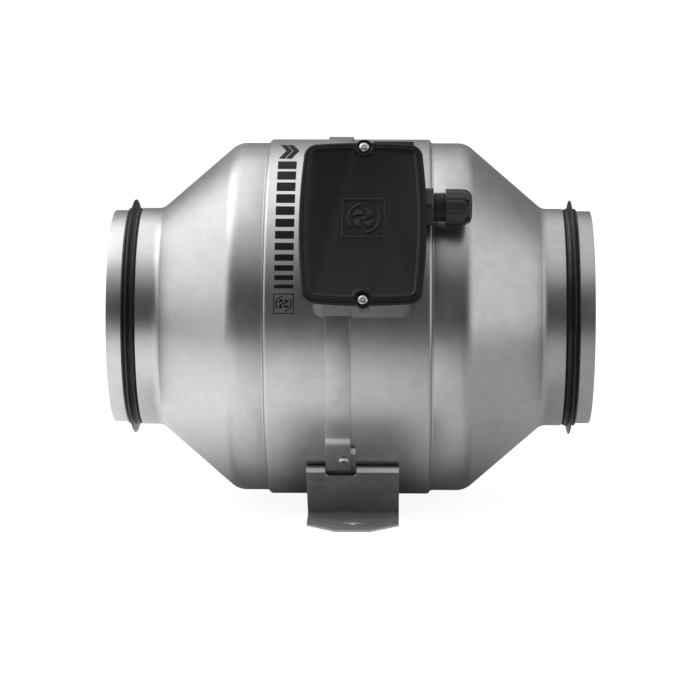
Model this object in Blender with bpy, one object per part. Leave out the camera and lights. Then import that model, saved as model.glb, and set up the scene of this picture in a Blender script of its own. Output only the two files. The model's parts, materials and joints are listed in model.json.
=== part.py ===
"""Inline mixed-flow duct fan with its terminal box, clamp strap and foot bracket.

The fan axis runs along X: air enters at -X and leaves at +X. The terminal box
faces -Y and leans back. Z is up, and the two foot flanges stand on z = 0.
"""
import math

import bmesh
import bpy
from mathutils import Matrix, Vector

for leftover in list(bpy.data.objects):
    bpy.data.objects.remove(leftover, do_unlink=True)

MM = 0.001

# Driving dimensions, in millimetres, along or around the fan axis.
GAP = 0.3                     # clearance between pieces that touch
HALF_LENGTH = 164.0           # spigot end to the body's middle
SPIGOT_R = 73.5               # for 150 mm duct
COLLAR_R = 75.1               # spigot inboard of the seal
BARREL_R = 120.2
BAND_R = 122.7
SHEET = 1.0
BAND_LEFT = -56.4
BAND_RIGHT = 54.3
CONE_LARGE_X = 78.0
SHELL_END_X = 46.0            # where each shell stops under the band
CONE_SMALL_X = 130.6          # small end of each cone
SEAL_END_X = 154.0            # outer edge of each seal
SEAL_WIDTH = 8.3
SEAL_BAND_R = 75.1
SEAL_LIP_R = 81.0

STRAP_LEFT = -15.8
STRAP_RIGHT = 0.8
STRAP_IN_R = 123.2
STRAP_SHEET = 1.3
STRAP_OUT_R = STRAP_IN_R + STRAP_SHEET
LAP_IN_R = STRAP_OUT_R + GAP  # the strap's ends step out over the foot's tongues
LAP_ANGLE = 33.0              # degrees below horizontal where the lap starts
LAP_STEP = 3.0                # degrees over which the strap steps out
LAP_END_ANGLE = 45.6
STRAP_SCREW_ANGLE = 39.2
STRAP_SCREW_X = -3.8
STRAP_HOLE_R = 1.9

FOOT_CENTRE_X = 1.9
FOOT_WIDTH = 62.0
FOOT_SHEET = 1.3
FOOT_BEND_Y = 57.0
FOOT_TOE_Y = 102.0
FOOT_CORNER_Y = 85.5
FOOT_TOE_FLAT = 24.0
FOOT_SLOT_Y = 84.0
FOOT_SLOT_HALF = (7.8, 2.0)
FOOT_HOLE_R = 3.3
SADDLE_END_ANGLE = 45.2       # degrees below horizontal where the saddle folds outwards
TONGUE_ANGLE = 34.8           # top of the tongue under the strap's end
TONGUE_X = (-15.8, 4.0)
NOTCH_X = (-16.4, 4.6)
NOTCH_ANGLES = (38.0, 46.4)   # the notch in the fold, degrees below horizontal
NOTCH_OUT_R = 136.0
AXIS_HEIGHT = 127.9           # fan axis above the standing surface

BOX_TILT = 33.6               # terminal box normal above horizontal, degrees
LID_X = 9.05
LID_A = 0.75
LID_HALF_W = 38.75
LID_HALF_H = 56.6
LID_BULGE_W = 2.6
LID_BULGE_H = 1.2
LID_CORNER_R = 9.0
LID_FRONT_N = 151.6
LID_RIM_N = 147.0
LID_WALL = 2.2
LID_SCREW_X = 9.5
LID_SCREW_A = 54.4
LID_BOSS_R = 5.6
LID_BOSS_N = 150.6
LID_SEAT_N = 149.0            # seat of the lid screws' heads
SCREW_HOLE_R = 1.9
GASKET_N = 145.6
GASKET_X = (-26.0, 42.5)
GASKET_A = (-55.0, 56.4)
GASKET_TAB_X = 15.0           # right of here the gasket stands out above the lid
GASKET_TAB_A = 61.0
BASE_TOP_N = 145.3
BASE_LEFT = -24.8
BASE_RIGHT = 42.5
BASE_A = 50.75                # half height of the metal base
BASE_WALL = 1.5
FLOOR_IN_R = 125.4
FLOOR_OUT_R = 126.6
LUG_HALF = 4.2
LUG_LOW_N = 139.0
BASE_SCREWS = ((8.0, 20.5), (33.0, -12.0))  # X, and degrees around from the box normal

GLAND_N = 133.6
GLAND_A = 19.6
GLAND_BORE_R = 6.5
GLAND_HEX = 24.0

IMPELLER_BLADES = 7
GUIDE_VANES = 6
HUB_FRONT_X = -92.0
HUB_REAR_X = -46.0
HUB_REAR_R = 74.0
HUB_SLOPE = 0.9375            # radius gained per mm along the hub's cone
WEB_X = -75.0
CUP_FRONT_X = -72.0
CUP_REAR_X = -36.0
CUP_R = 43.0
SHAFT_R = 4.0
MOTOR_FLANGE_X = -34.0
CORE_WEB_X = -30.7
CORE_FRONT_X = -43.0
CORE_R = 76.5
CORE_REAR_X = 70.0
CORE_REAR_R = 48.0
LEAD_ANGLE = 16.0             # degrees around from the box normal
LEAD_X = 12.0
LEAD_R = 2.5

TURN_SEGMENTS = 40            # shared by the nested casing pieces, so their flats line up
INNER_SEGMENTS = 32

# The origin is midway between the lid's lower front edge and the strap's back.
FRONT_REACH = (LID_BOSS_N * math.cos(math.radians(BOX_TILT))
               + (LID_SCREW_A - LID_A + LID_BOSS_R) * math.sin(math.radians(BOX_TILT)))
AXIS_Y = (FRONT_REACH - STRAP_OUT_R) / 2


# Materials

def material(name, colour, roughness, metallic=0.0):
    """A Principled material with one colour."""
    mat = bpy.data.materials.new(name)
    mat.use_nodes = True
    shader = mat.node_tree.nodes["Principled BSDF"]
    shader.inputs["Base Color"].default_value = (*colour, 1.0)
    shader.inputs["Roughness"].default_value = roughness
    shader.inputs["Metallic"].default_value = metallic
    mat.diffuse_color = (*colour, 1.0)
    return mat


GALVANISED = material("galvanised", (0.62, 0.62, 0.61), 0.36, 1.0)
FOOT_STEEL = material("foot_steel", (0.47, 0.47, 0.45), 0.42, 1.0)
BRIGHT_STEEL = material("bright_steel", (0.72, 0.72, 0.70), 0.22, 1.0)
BLACK_PLASTIC = material("black_plastic", (0.030, 0.030, 0.028), 0.5)
GREY_PLASTIC = material("grey_plastic", (0.48, 0.48, 0.46), 0.5)
RUBBER = material("rubber", (0.018, 0.018, 0.017), 0.6)
CAST_ALUMINIUM = material("cast_aluminium", (0.66, 0.66, 0.67), 0.5, 1.0)
COPPER = material("copper", (0.62, 0.28, 0.13), 0.35, 1.0)
CORE_STEEL = material("core_steel", (0.33, 0.33, 0.34), 0.45, 1.0)


# Frames: one empty on the fan axis, one on the terminal box, one on the gland

def frame(name, parent=None, place=(0, 0, 0), tilt_x=0.0):
    """An empty that other pieces are placed from."""
    empty = bpy.data.objects.new(name, None)
    bpy.context.collection.objects.link(empty)
    empty.parent = parent
    empty.location = Vector(place) * MM
    empty.rotation_euler = (tilt_x, 0, 0)
    return empty


# In the axis frame Y points away from the front and Z is up. In the box frame
# Y runs up the lid and Z is the lid's outward normal, both from the fan axis.
axis_frame = frame("fan_axis", None, (0, AXIS_Y, AXIS_HEIGHT))
box_frame = frame("box_frame", axis_frame, tilt_x=math.radians(90 - BOX_TILT))
gland_frame = frame("gland_axis", box_frame, (0, GLAND_A, GLAND_N))


# Outlines

def arc(centre, radius, start, end, steps):
    """Points on an arc, from start to end in degrees."""
    points = []
    for i in range(steps + 1):
        angle = math.radians(start + (end - start) * i / steps)
        points.append((centre[0] + radius * math.cos(angle), centre[1] + radius * math.sin(angle)))
    return points


def rounded(corners, steps=3):
    """A line through (x, y, radius) corners, each corner turned by an arc of its radius."""
    line = []
    for i, (x, y, radius) in enumerate(corners):
        here = Vector((x, y))
        if radius == 0 or i in (0, len(corners) - 1):
            line.append((x, y))
            continue
        back = (Vector(corners[i - 1][:2]) - here).normalized()
        ahead = (Vector(corners[i + 1][:2]) - here).normalized()
        half = back.angle(ahead) / 2
        centre = here + (back + ahead).normalized() * (radius / math.sin(half))
        first = here + back * (radius / math.tan(half)) - centre
        last = here + ahead * (radius / math.tan(half)) - centre
        turn = first.angle_signed(last)
        for k in range(steps + 1):
            point = centre + Matrix.Rotation(-turn * k / steps, 2) @ first
            line.append((point.x, point.y))
    return line


def offset(line, distance):
    """The line moved sideways by distance, to the right of its direction."""
    moved = []
    for i, point in enumerate(line):
        here = Vector(point)
        normals = []
        for a, b in ((i - 1, i), (i, i + 1)):
            if 0 <= a and b < len(line):
                step = (Vector(line[b]) - Vector(line[a])).normalized()
                normals.append(Vector((step.y, -step.x)))
        mitre = normals[0] + normals[-1]
        mitre = mitre / (mitre.dot(normals[0]))
        moved.append(tuple(here + mitre * distance))
    return moved


def sheet(line, thickness):
    """The closed section of a sheet whose one face is line, the other to its right."""
    return line + offset(line, thickness)[::-1]


def rectangle(left, bottom, right, top, radius=0.0, steps=3):
    """A rectangle, with round corners where radius is given."""
    if radius == 0:
        return [(left, bottom), (right, bottom), (right, top), (left, top)]
    points = []
    for x, y, start in ((right - radius, top - radius, 0), (left + radius, top - radius, 90),
                        (left + radius, bottom + radius, 180), (right - radius, bottom + radius, 270)):
        points += arc((x, y), radius, start, start + 90, steps)
    return points


def lid_outline(inset):
    """The lid's outline: four arcs joined by sides that swell outwards."""
    radius = LID_CORNER_R - inset
    half_w = LID_HALF_W - inset
    half_h = LID_HALF_H - inset
    quarter = arc((half_w - radius, half_h - radius), radius, 6, 87, 4)
    quarter += [(x, half_h + LID_BULGE_H * (1 - (x / (half_w - radius)) ** 2))
                for x in ((half_w - radius) * 0.5, 0.0)]
    side = [(half_w + LID_BULGE_W * (1 - (y / (half_h - radius)) ** 2), y)
            for y in (0.0, (half_h - radius) * 0.33, (half_h - radius) * 0.66)]
    quarter = side + quarter
    upper = quarter + [(-x, y) for x, y in quarter[::-1][1:-1]]
    left = [(-quarter[0][0], 0.0)]
    lower = [(-x, -y) for x, y in quarter[1:]] + [(x, -y) for x, y in quarter[::-1][1:-1]]
    return [(x + LID_X, y + LID_A) for x, y in upper + left + lower]


# Solids

def add(name, bm, mat, parent, smooth_angle=35.0):
    """Link a finished bmesh as an object in its parent's frame."""
    bmesh.ops.remove_doubles(bm, verts=bm.verts, dist=1e-6)
    bmesh.ops.recalc_face_normals(bm, faces=bm.faces)
    mesh = bpy.data.meshes.new(name)
    bm.to_mesh(mesh)
    bm.free()
    mesh.materials.append(mat)
    mesh.shade_smooth()
    mesh.set_sharp_from_angle(angle=math.radians(smooth_angle))
    obj = bpy.data.objects.new(name, mesh)
    obj.parent = parent
    bpy.context.collection.objects.link(obj)
    return obj


def turned(name, section, mat, parent=axis_frame, segments=TURN_SEGMENTS):
    """Spin a closed section of (x, radius) points about the parent's X axis."""
    bm = bmesh.new()
    rings = []
    for x, radius in section:
        ring = []
        for k in range(segments):
            if radius < 1e-6 and k:
                ring.append(ring[0])
                continue
            angle = 2 * math.pi * k / segments
            place = (x, -radius * math.sin(angle), radius * math.cos(angle))
            ring.append(bm.verts.new(Vector(place) * MM))
        rings.append(ring)
    for i, ring in enumerate(rings):
        after = rings[(i + 1) % len(rings)]
        if ring[0] is ring[1] and after[0] is after[1]:
            continue
        for k in range(segments):
            m = (k + 1) % segments
            corners = []
            for vert in (ring[k], ring[m], after[m], after[k]):
                if vert not in corners:
                    corners.append(vert)
            bm.faces.new(corners)
    return add(name, bm, mat, parent)


def loft(name, layers, mat, parent):
    """Stack matching outlines, given as (outline, height) from the bottom up, into a solid."""
    bm = bmesh.new()
    rings = [[bm.verts.new(Vector((x, y, height)) * MM) for x, y in outline] for outline, height in layers]
    bm.faces.new(rings[0])
    bm.faces.new(rings[-1])
    for low, high in zip(rings, rings[1:]):
        for i in range(len(low)):
            j = (i + 1) % len(low)
            bm.faces.new((low[i], low[j], high[j], high[i]))
    return add(name, bm, mat, parent)


def prism(name, outline, low, high, mat, parent):
    """Extrude an outline along the parent's Z from low to high."""
    return loft(name, ((outline, low), (outline, high)), mat, parent)


def rod(name, start, end, radius, parent, segments=16):
    """A plain cylinder between two points of the parent's frame, for cutters."""
    first, last = Vector(start), Vector(end)
    turn = (last - first).to_track_quat("Z", "Y").to_matrix().to_4x4()
    bm = bmesh.new()
    bmesh.ops.create_cone(bm, cap_ends=True, segments=segments, radius1=radius * MM,
                          radius2=radius * MM, depth=(last - first).length * MM)
    bmesh.ops.transform(bm, matrix=Matrix.Translation((first + last) / 2 * MM) @ turn, verts=bm.verts)
    return add(name, bm, CORE_STEEL, parent)


def modify(target, tools, operation):
    """Boolean modifiers on target; the tools stay in the file as wire guides."""
    for tool in tools:
        tool.hide_render = True
        tool.display_type = "WIRE"
        boolean = target.modifiers.new(f"{operation.lower()}_{tool.name}", "BOOLEAN")
        boolean.operation = operation
        boolean.solver = "EXACT"
        boolean.object = tool
    return target


def cut(target, *tools):
    return modify(target, tools, "DIFFERENCE")


def join(target, *tools):
    return modify(target, tools, "UNION")


def box(name, low, high, parent):
    """A block between two corners, for cutters."""
    return prism(name, rectangle(low[0], low[1], high[0], high[1]), low[2], high[2], CORE_STEEL, parent)


def screw(name, parent, place, direction, head_r, head_h, shank_r, length, mat=BRIGHT_STEEL):
    """A pan-head screw whose head's seat is at place; direction points out of the head."""
    section = [(head_h, 0.0), (head_h * 0.5, head_r), (0.0, head_r),
               (0.0, shank_r), (-length, shank_r), (-length, 0.0)]
    obj = turned(name, section, mat, parent, segments=8)
    turn = Vector((1, 0, 0)).rotation_difference(Vector(direction).normalized())
    obj.rotation_mode = "QUATERNION"
    obj.rotation_quaternion = turn
    obj.location = Vector(place) * MM
    return obj


def polar(angle, radius, x=0.0):
    """A point of the axis frame; the angle runs from the box normal, up over the top."""
    lean = math.radians(BOX_TILT + angle)
    return (x, -radius * math.cos(lean), radius * math.sin(lean))


# Casing: two turned shells, the band over their joint, and the duct seals

def casing():
    for sign, side in ((-1, "inlet"), (1, "outlet")):
        seal_in = SEAL_END_X - SEAL_WIDTH
        outer = rounded([
            (-HALF_LENGTH, SPIGOT_R, 0), (0.3 - seal_in, SPIGOT_R, 0), (1.3 - seal_in, COLLAR_R, 0),
            (-CONE_SMALL_X, COLLAR_R, 6), (-CONE_LARGE_X, BARREL_R, 12), (-SHELL_END_X, BARREL_R, 0)], 1)
        turned(f"{side}_shell", mirrored(sheet(outer, SHEET), sign), GALVANISED)
        base_r = SPIGOT_R + GAP
        out, edge_r = -SEAL_END_X, SEAL_BAND_R - 0.6
        section = [(out, base_r), (out, edge_r), (out + 0.6, SEAL_BAND_R), (out + 2.6, SEAL_BAND_R),
                   (out + 3.6, SEAL_LIP_R), (out + 4.3, SEAL_LIP_R), (out + 5.3, SEAL_BAND_R),
                   (-seal_in - 0.6, SEAL_BAND_R), (-seal_in, edge_r), (-seal_in, base_r)]
        turned(f"{side}_seal", mirrored(section, sign), RUBBER)
    lip = BARREL_R + GAP
    outer = rounded([(BAND_LEFT, lip, 0), (BAND_LEFT, BAND_R, 1.4),
                     (BAND_RIGHT, BAND_R, 1.4), (BAND_RIGHT, lip, 0)], 1)
    band = turned("center_band", sheet(outer, SHEET), GALVANISED)
    cut(band, rod("band_lead_cut", polar(LEAD_ANGLE, 110, LEAD_X), polar(LEAD_ANGLE, 130, LEAD_X),
                  4.3, axis_frame, 12))


def mirrored(section, sign):
    """The inlet's section as it is, or turned round for the outlet."""
    return section if sign < 0 else [(-x, r) for x, r in section[::-1]]


def bellmouth():
    """One spun part: inlet collar, throat, impeller shroud and bulkhead flange."""
    line = rounded([(-141.0, 73.8, 0), (-131.5, 73.8, 8), (-106.0, 64.0, 14), (-97.0, 64.0, 16),
                    (-48.0, 97.5, 0), (-48.0, 117.8, 0), (-60.0, 117.8, 0)], 1)
    turned("inlet_bellmouth", sheet(line, 1.2), BLACK_PLASTIC)


# Rotor: impeller, its cap and screws, the rotor cup, rotor ring and shaft

def hub_r(x):
    return HUB_REAR_R + (x - HUB_REAR_X) * HUB_SLOPE


def impeller():
    wall = 3.4
    section = [(HUB_FRONT_X, hub_r(HUB_FRONT_X)), (HUB_REAR_X, HUB_REAR_R),
               (HUB_REAR_X, HUB_REAR_R - wall), (WEB_X + 2.7, hub_r(WEB_X + 2.7) - wall),
               (WEB_X + 2.7, 9.0), (WEB_X, 9.0), (WEB_X, hub_r(WEB_X) - wall),
               (HUB_FRONT_X, hub_r(HUB_FRONT_X) - wall)]
    hub = turned("impeller", section, BLACK_PLASTIC, segments=INNER_SEGMENTS)
    blades = bmesh.new()
    lead_x, trail_x = HUB_FRONT_X + 2.5, HUB_REAR_X - 1.5
    for blade in range(IMPELLER_BLADES):
        add_blade(blades, 360.0 * blade / IMPELLER_BLADES, lead_x, trail_x)
    join(hub, add("impeller_blades_guide", blades, BLACK_PLASTIC, axis_frame))
    screws = []
    for k in range(3):
        angle = 120.0 * k
        spot = polar(angle, 24.0, WEB_X)
        cut(hub, rod(f"hub_screw_cut_{k}", (WEB_X - 2, *spot[1:]), (WEB_X + 4, *spot[1:]), 1.9,
                     axis_frame, 8))
        screws.append(spot)
    turned("impeller_cap", rounded([(-110.0, 0.0, 0), (-110.0, 15.0, 13), (-92.4, 30.4, 0)], 3)
           + [(-92.4, 26.0), (-87.5, 26.0), (-87.5, 24.2), (-94.6, 24.2), (-107.8, 11.5), (-107.8, 0.0)],
           BLACK_PLASTIC, segments=INNER_SEGMENTS)
    cup_wall = 2.0
    cup = turned("rotor_cup", [
        (CUP_FRONT_X, SHAFT_R + GAP), (CUP_FRONT_X, CUP_R - 2), (CUP_FRONT_X + 2, CUP_R),
        (CUP_REAR_X, CUP_R), (CUP_REAR_X, CUP_R - cup_wall), (CUP_FRONT_X + cup_wall, CUP_R - cup_wall),
        (CUP_FRONT_X + cup_wall, SHAFT_R + GAP)], CORE_STEEL, segments=32)
    for k, spot in enumerate(screws):
        cut(cup, rod(f"cup_screw_cut_{k}", (CUP_FRONT_X - 2, *spot[1:]), (CUP_FRONT_X + 4, *spot[1:]),
                     1.9, axis_frame, 8))
        screw(f"impeller_screw_{k + 1}", axis_frame, (WEB_X - GAP, *spot[1:]), (-1, 0, 0),
              3.4, 2.2, 1.5, 4.9)
    ring_out = CUP_R - cup_wall - GAP
    turned("rotor_ring", [(-64.0, ring_out - 6.6), (-64.0, ring_out), (-42.0, ring_out),
                          (-42.0, ring_out - 6.6)], CAST_ALUMINIUM, segments=32)
    turned("motor_shaft", [(-82.0, 0.0), (-82.0, SHAFT_R - 0.6), (-81.4, SHAFT_R), (-22.0, SHAFT_R),
                           (-22.0, 0.0)], BRIGHT_STEEL, segments=16)


def add_blade(bm, angle, lead_x, trail_x, steps=6, wrap=46.0, thickness=2.0):
    """One backward-swept blade, rooted in the hub wall and clear of the shroud."""
    root_depth, tip_gap = 1.6, 2.0
    rows = []
    for i in range(steps + 1):
        t = i / steps
        x = lead_x + (trail_x - lead_x) * t
        inner = hub_r(x) - root_depth
        outer = 64.0 + max(0.0, x + 94.0) * 33.5 / 48.0 - 1.3 - tip_gap
        centre = math.radians(angle + wrap * (1 - (1 - t) ** 1.35))
        half = thickness * (0.35 + 0.65 * math.sin(math.pi * (0.15 + 0.7 * t))) / 2
        row = []
        for radius in (inner, outer):
            for side in (-1, 1):
                turn = centre + side * half / radius
                row.append(bm.verts.new(Vector((x, -radius * math.sin(turn), radius * math.cos(turn))) * MM))
        rows.append(row)
    for first, second in zip(rows, rows[1:]):
        for a, b in ((0, 1), (1, 3), (3, 2), (2, 0)):
            bm.faces.new((first[a], first[b], second[b], second[a]))
    for row in (rows[0], rows[-1]):
        bm.faces.new((row[0], row[1], row[3], row[2]))


# Motor: flange with its bearing tube, stator, windings and bearings

def motor():
    tube_in, tube_out = 11.3, 14.0
    flange_back = MOTOR_FLANGE_X + 3.0
    flange = turned("motor_flange", [
        (-66.0, tube_in), (-66.0, tube_out), (MOTOR_FLANGE_X, tube_out), (MOTOR_FLANGE_X, 45.0),
        (MOTOR_FLANGE_X + 1, 46.0), (flange_back, 46.0), (flange_back, tube_out),
        (-20.0, tube_out), (-20.0, tube_in)], CAST_ALUMINIUM, segments=28)
    turned("stator_core", [(-62.0, tube_out + GAP), (-62.0, 33.4), (-44.0, 33.4), (-44.0, tube_out + GAP)],
           CORE_STEEL, segments=32)
    for name, low, high in (("winding_front", -68.4, -62.3), ("winding_rear", -43.7, -37.6)):
        turned(name, [(low, 19.0), (low, 28.0), (low + 1.6, 31.0), (high - 1.6, 31.0), (high, 28.0),
                      (high, 19.0), (high - 1.6, 17.0), (low + 1.6, 17.0)], COPPER, segments=20)
    for name, low in (("bearing_front", -64.0), ("bearing_rear", -31.0)):
        turned(name, [(low, SHAFT_R + GAP), (low, tube_in - GAP), (low + 7, tube_in - GAP),
                      (low + 7, SHAFT_R + GAP)], BRIGHT_STEEL, segments=20)
    lead_hole = polar(LEAD_ANGLE, 26.0)
    cut(flange, rod("flange_lead_cut", (-38, *lead_hole[1:]), (-28, *lead_hole[1:]), 3.4, axis_frame, 12))
    for k in range(3):
        spot = polar(LEAD_ANGLE + 60 + 120 * k, 36.0)
        cut(flange, rod(f"flange_screw_cut_{k}", (-36, *spot[1:]), (-28, *spot[1:]), 1.9, axis_frame, 8))
        screw(f"motor_screw_{k + 1}", axis_frame, (CORE_WEB_X + 1.5 + GAP, *spot[1:]), (1, 0, 0),
              3.6, 2.4, 1.5, 5.0)


# Guide vanes, the core that carries the motor, and its tail cone

def diffuser():
    wall = 1.5
    outer = rounded([(CORE_FRONT_X, HUB_REAR_R, 0), (-30.0, CORE_R, 0), (18.0, CORE_R, 40),
                     (CORE_REAR_X, CORE_REAR_R, 0)], 2)
    inner = offset(outer, wall)[::-1]
    front_inner = inner[-1]
    web_back = CORE_WEB_X + wall
    web_line = [(web_back, CORE_R - 1.6), (web_back, 15.0), (CORE_WEB_X, 15.0), (CORE_WEB_X, CORE_R - 1.8)]
    core = turned("diffuser_core", outer + inner[:-2] + web_line + [front_inner], GALVANISED,
                  segments=INNER_SEGMENTS)
    lead = polar(LEAD_ANGLE, 26.0)
    cut(core, rod("web_lead_cut", (-33, *lead[1:]), (-27, *lead[1:]), 3.4, axis_frame, 12),
        rod("core_lead_cut", polar(LEAD_ANGLE, 60, LEAD_X), polar(LEAD_ANGLE, 90, LEAD_X), 3.4,
            axis_frame, 12))
    for k in range(3):
        spot = polar(LEAD_ANGLE + 60 + 120 * k, 36.0)
        cut(core, rod(f"web_screw_cut_{k}", (-33, *spot[1:]), (-27, *spot[1:]), 1.9, axis_frame, 8))
    rim = CORE_REAR_X + GAP
    turned("tail_cone", [(rim - 7, 44.6)] + [(rim, 44.6), (rim, CORE_REAR_R)]
           + rounded([(rim + 2, 47.4, 0), (101.0, 31.0, 22), (108.0, 0.0, 0)], 2)
           + [(106.4, 0.0), (98.6, 29.0), (rim + 1.8, 43.0), (rim - 7, 43.0)],
           BLACK_PLASTIC, segments=INNER_SEGMENTS)
    for k in range(GUIDE_VANES):
        guide_vane(f"guide_vane_{k + 1}", BOX_TILT - 90 + 42.0 + 360.0 * k / GUIDE_VANES)


def guide_vane(name, angle, steps=6):
    """A curved sheet vane with a tab at its root and a tab against the band."""
    tab, thick = 11.0, 1.4
    root, tip = CORE_R + GAP + 0.2, BAND_R - SHEET - GAP - 0.2
    front, back, turn = -27.0, 36.0, 24.0
    bm = bmesh.new()
    rings = []
    for i in range(steps + 1):
        t = i / steps
        x = front + (back - front) * t
        base = math.radians(angle + turn * (1 - t) ** 2)
        section = [(0, root), (tab, root), (tab, root + thick), (thick, root + thick),
                   (thick, tip - thick), (tab, tip - thick), (tab, tip), (tab / 2, tip), (0, tip)]
        ring = []
        for across, radius in section:
            spin = base + across / radius
            ring.append(bm.verts.new(Vector((x, -radius * math.sin(spin), radius * math.cos(spin))) * MM))
        rings.append(ring)
    for first, second in zip(rings, rings[1:]):
        for a in range(len(first)):
            b = (a + 1) % len(first)
            bm.faces.new((first[a], first[b], second[b], second[a]))
    bm.faces.new(rings[0])
    bm.faces.new(rings[-1])
    add(name, bm, GALVANISED, axis_frame)


# Terminal box: metal base, gasket, lid, gland and what is inside

def terminal_base():
    centre = LID_A
    outer = rectangle(BASE_LEFT, centre - BASE_A, BASE_RIGHT, centre + BASE_A, 8.0)
    inner = rectangle(BASE_LEFT + BASE_WALL, centre - BASE_A + BASE_WALL,
                      BASE_RIGHT - BASE_WALL, centre + BASE_A - BASE_WALL, 6.5)
    base = prism("terminal_base", outer, 90.0, BASE_TOP_N, GALVANISED, box_frame)
    lugs = []
    for k, side in enumerate((-1, 1)):
        middle = centre + side * LID_SCREW_A
        inward = middle - side * (LUG_HALF + 0.8)
        lugs.append(prism(f"base_lug_{k}", rectangle(
            LID_SCREW_X - LUG_HALF, min(middle - LUG_HALF, inward), LID_SCREW_X + LUG_HALF,
            max(middle + LUG_HALF, inward), 2.0, 1), LUG_LOW_N, BASE_TOP_N, GALVANISED, box_frame))
    join(base, *lugs)
    room = prism("base_room", inner, 90.0, 160.0, GALVANISED, box_frame)
    skirt = prism("base_under_room", inner, 80.0, 160.0, GALVANISED, box_frame)
    floor_top = turned("base_floor_top", [(-60.0, 0.0), (-60.0, FLOOR_OUT_R), (70.0, FLOOR_OUT_R),
                                          (70.0, 0.0)], GALVANISED, segments=96)
    floor_under = turned("base_floor_under", [(-60.0, 0.0), (-60.0, FLOOR_IN_R), (70.0, FLOOR_IN_R),
                                              (70.0, 0.0)], GALVANISED, segments=96)
    band_space = turned("base_band_space", [(-90.0, 0.0), (-90.0, STRAP_IN_R), (90.0, STRAP_IN_R),
                                            (90.0, 0.0)], GALVANISED, segments=96)
    strap_space = turned("base_strap_space", [
        (STRAP_LEFT - 0.9, 0.0), (STRAP_LEFT - 0.9, FLOOR_IN_R), (STRAP_RIGHT + 0.9, FLOOR_IN_R),
        (STRAP_RIGHT + 0.9, 0.0)], GALVANISED, segments=96)
    cut(room, floor_top)
    modify(skirt, (floor_under,), "INTERSECT")
    tools = [room, skirt, band_space, strap_space]
    tools.append(box("base_nut_room", (26.0, 4.0, 110.0), (BASE_RIGHT - BASE_WALL, 36.0, 140.0), box_frame))
    tools.append(rod("base_gland_cut", (36, GLAND_A, GLAND_N), (48, GLAND_A, GLAND_N), 10.4, box_frame, 28))
    tools.append(rod("base_lead_cut", (LEAD_X, 0, 0), (LEAD_X, 150 * math.sin(math.radians(LEAD_ANGLE)),
                                                       150 * math.cos(math.radians(LEAD_ANGLE))),
                     4.3, box_frame, 12))
    for k, side in enumerate((-1, 1)):
        spot = (LID_SCREW_X, LID_A + side * LID_SCREW_A)
        tools.append(rod(f"base_lug_cut_{k}", (*spot, 130), (*spot, 150), SCREW_HOLE_R, box_frame, 10))
    for x, angle in BASE_SCREWS:
        side = Vector((0, math.sin(math.radians(angle)), math.cos(math.radians(angle))))
        tools.append(rod(f"base_screw_cut_{angle:+.0f}".replace("+", "p").replace("-", "m"),
                         Vector((x, 0, 0)) + side * 120, Vector((x, 0, 0)) + side * 130, 1.9, box_frame, 8))
    cut(base, *tools)


def terminal_details():
    """Fasteners, terminal block, capacitor, motor lead and grommet in the box."""
    band = bpy.data.objects["center_band"]
    names = ("base_screw", "earth_screw")
    for name, (x, angle) in zip(names, BASE_SCREWS):
        side = Vector((0, math.sin(math.radians(angle)), math.cos(math.radians(angle))))
        start = Vector((x, 0, 0))
        cut(band, rod(f"band_{name}_cut", start + side * 118, start + side * 126, 1.9, box_frame, 8))
        screw(name, box_frame, start + side * (FLOOR_OUT_R + GAP), side, 3.6, 2.4, 1.5, 6.6)
    block_left, block_right, block_low, block_high = -18.0, 24.0, -14.0, 2.0
    block = prism("terminal_block", rectangle(block_left, block_low, block_right, block_high),
                  127.4, 140.5, GREY_PLASTIC, box_frame)
    poles = 4
    pitch = (block_right - block_left) / poles
    for k in range(poles):
        x = block_left + pitch * (k + 0.5)
        cut(block, box(f"block_way_{k}", (x - 2.2, block_low - 1, 130.0), (x + 2.2, block_low + 5, 134.5),
                       box_frame),
            rod(f"block_screw_cut_{k}", (x, -6, 134), (x, -6, 142), 2.7, box_frame, 10))
        screw(f"terminal_screw_{k + 1}", box_frame, (x, -6, 137.0), (0, 0, 1), 2.3, 1.6, 1.4, 2.4)
    turned("capacitor", [(-17.0, 0.0), (-17.0, 7.4), (-15.4, 9.0), (20.0, 9.0), (21.0, 8.2),
                         (21.0, 0.0)], GREY_PLASTIC, box_frame, segments=20).location = (
                             0, -34.0 * MM, 133.6 * MM)
    lean = math.radians(LEAD_ANGLE)
    grommet = turned("cable_grommet", [
        (119.4, 3.0), (119.4, 4.9), (121.2, 4.9), (121.2, 3.9), (127.0, 3.9), (127.0, 6.0),
        (129.0, 5.4), (129.0, 3.0)], RUBBER, box_frame, segments=12)
    grommet.rotation_mode = "QUATERNION"
    grommet.rotation_quaternion = Vector((1, 0, 0)).rotation_difference((0, math.sin(lean), math.cos(lean)))
    grommet.location = (LEAD_X * MM, 0, 0)
    lead_route = []
    for x, radius in ((-36.8, 26.0), (-26.0, 26.0), (-10.0, 30.0), (6.0, 45.0), (LEAD_X, 62.0),
                      (LEAD_X, 90.0), (LEAD_X, 116.0), (LEAD_X, 124.0), (LEAD_X, 131.0)):
        lead_route.append((x, radius * math.sin(lean), radius * math.cos(lean)))
    lead_route += [(LEAD_X, 34.0, 133.0), (LEAD_X, 26.0, 138.5), (LEAD_X - 1, 16.0, 138.0),
                   (LEAD_X - 3, 8.0, 134.5),
                   (LEAD_X - 3, block_high + 1.6, 133.2)]
    tube("motor_lead", lead_route, LEAD_R, RUBBER, box_frame)


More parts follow.
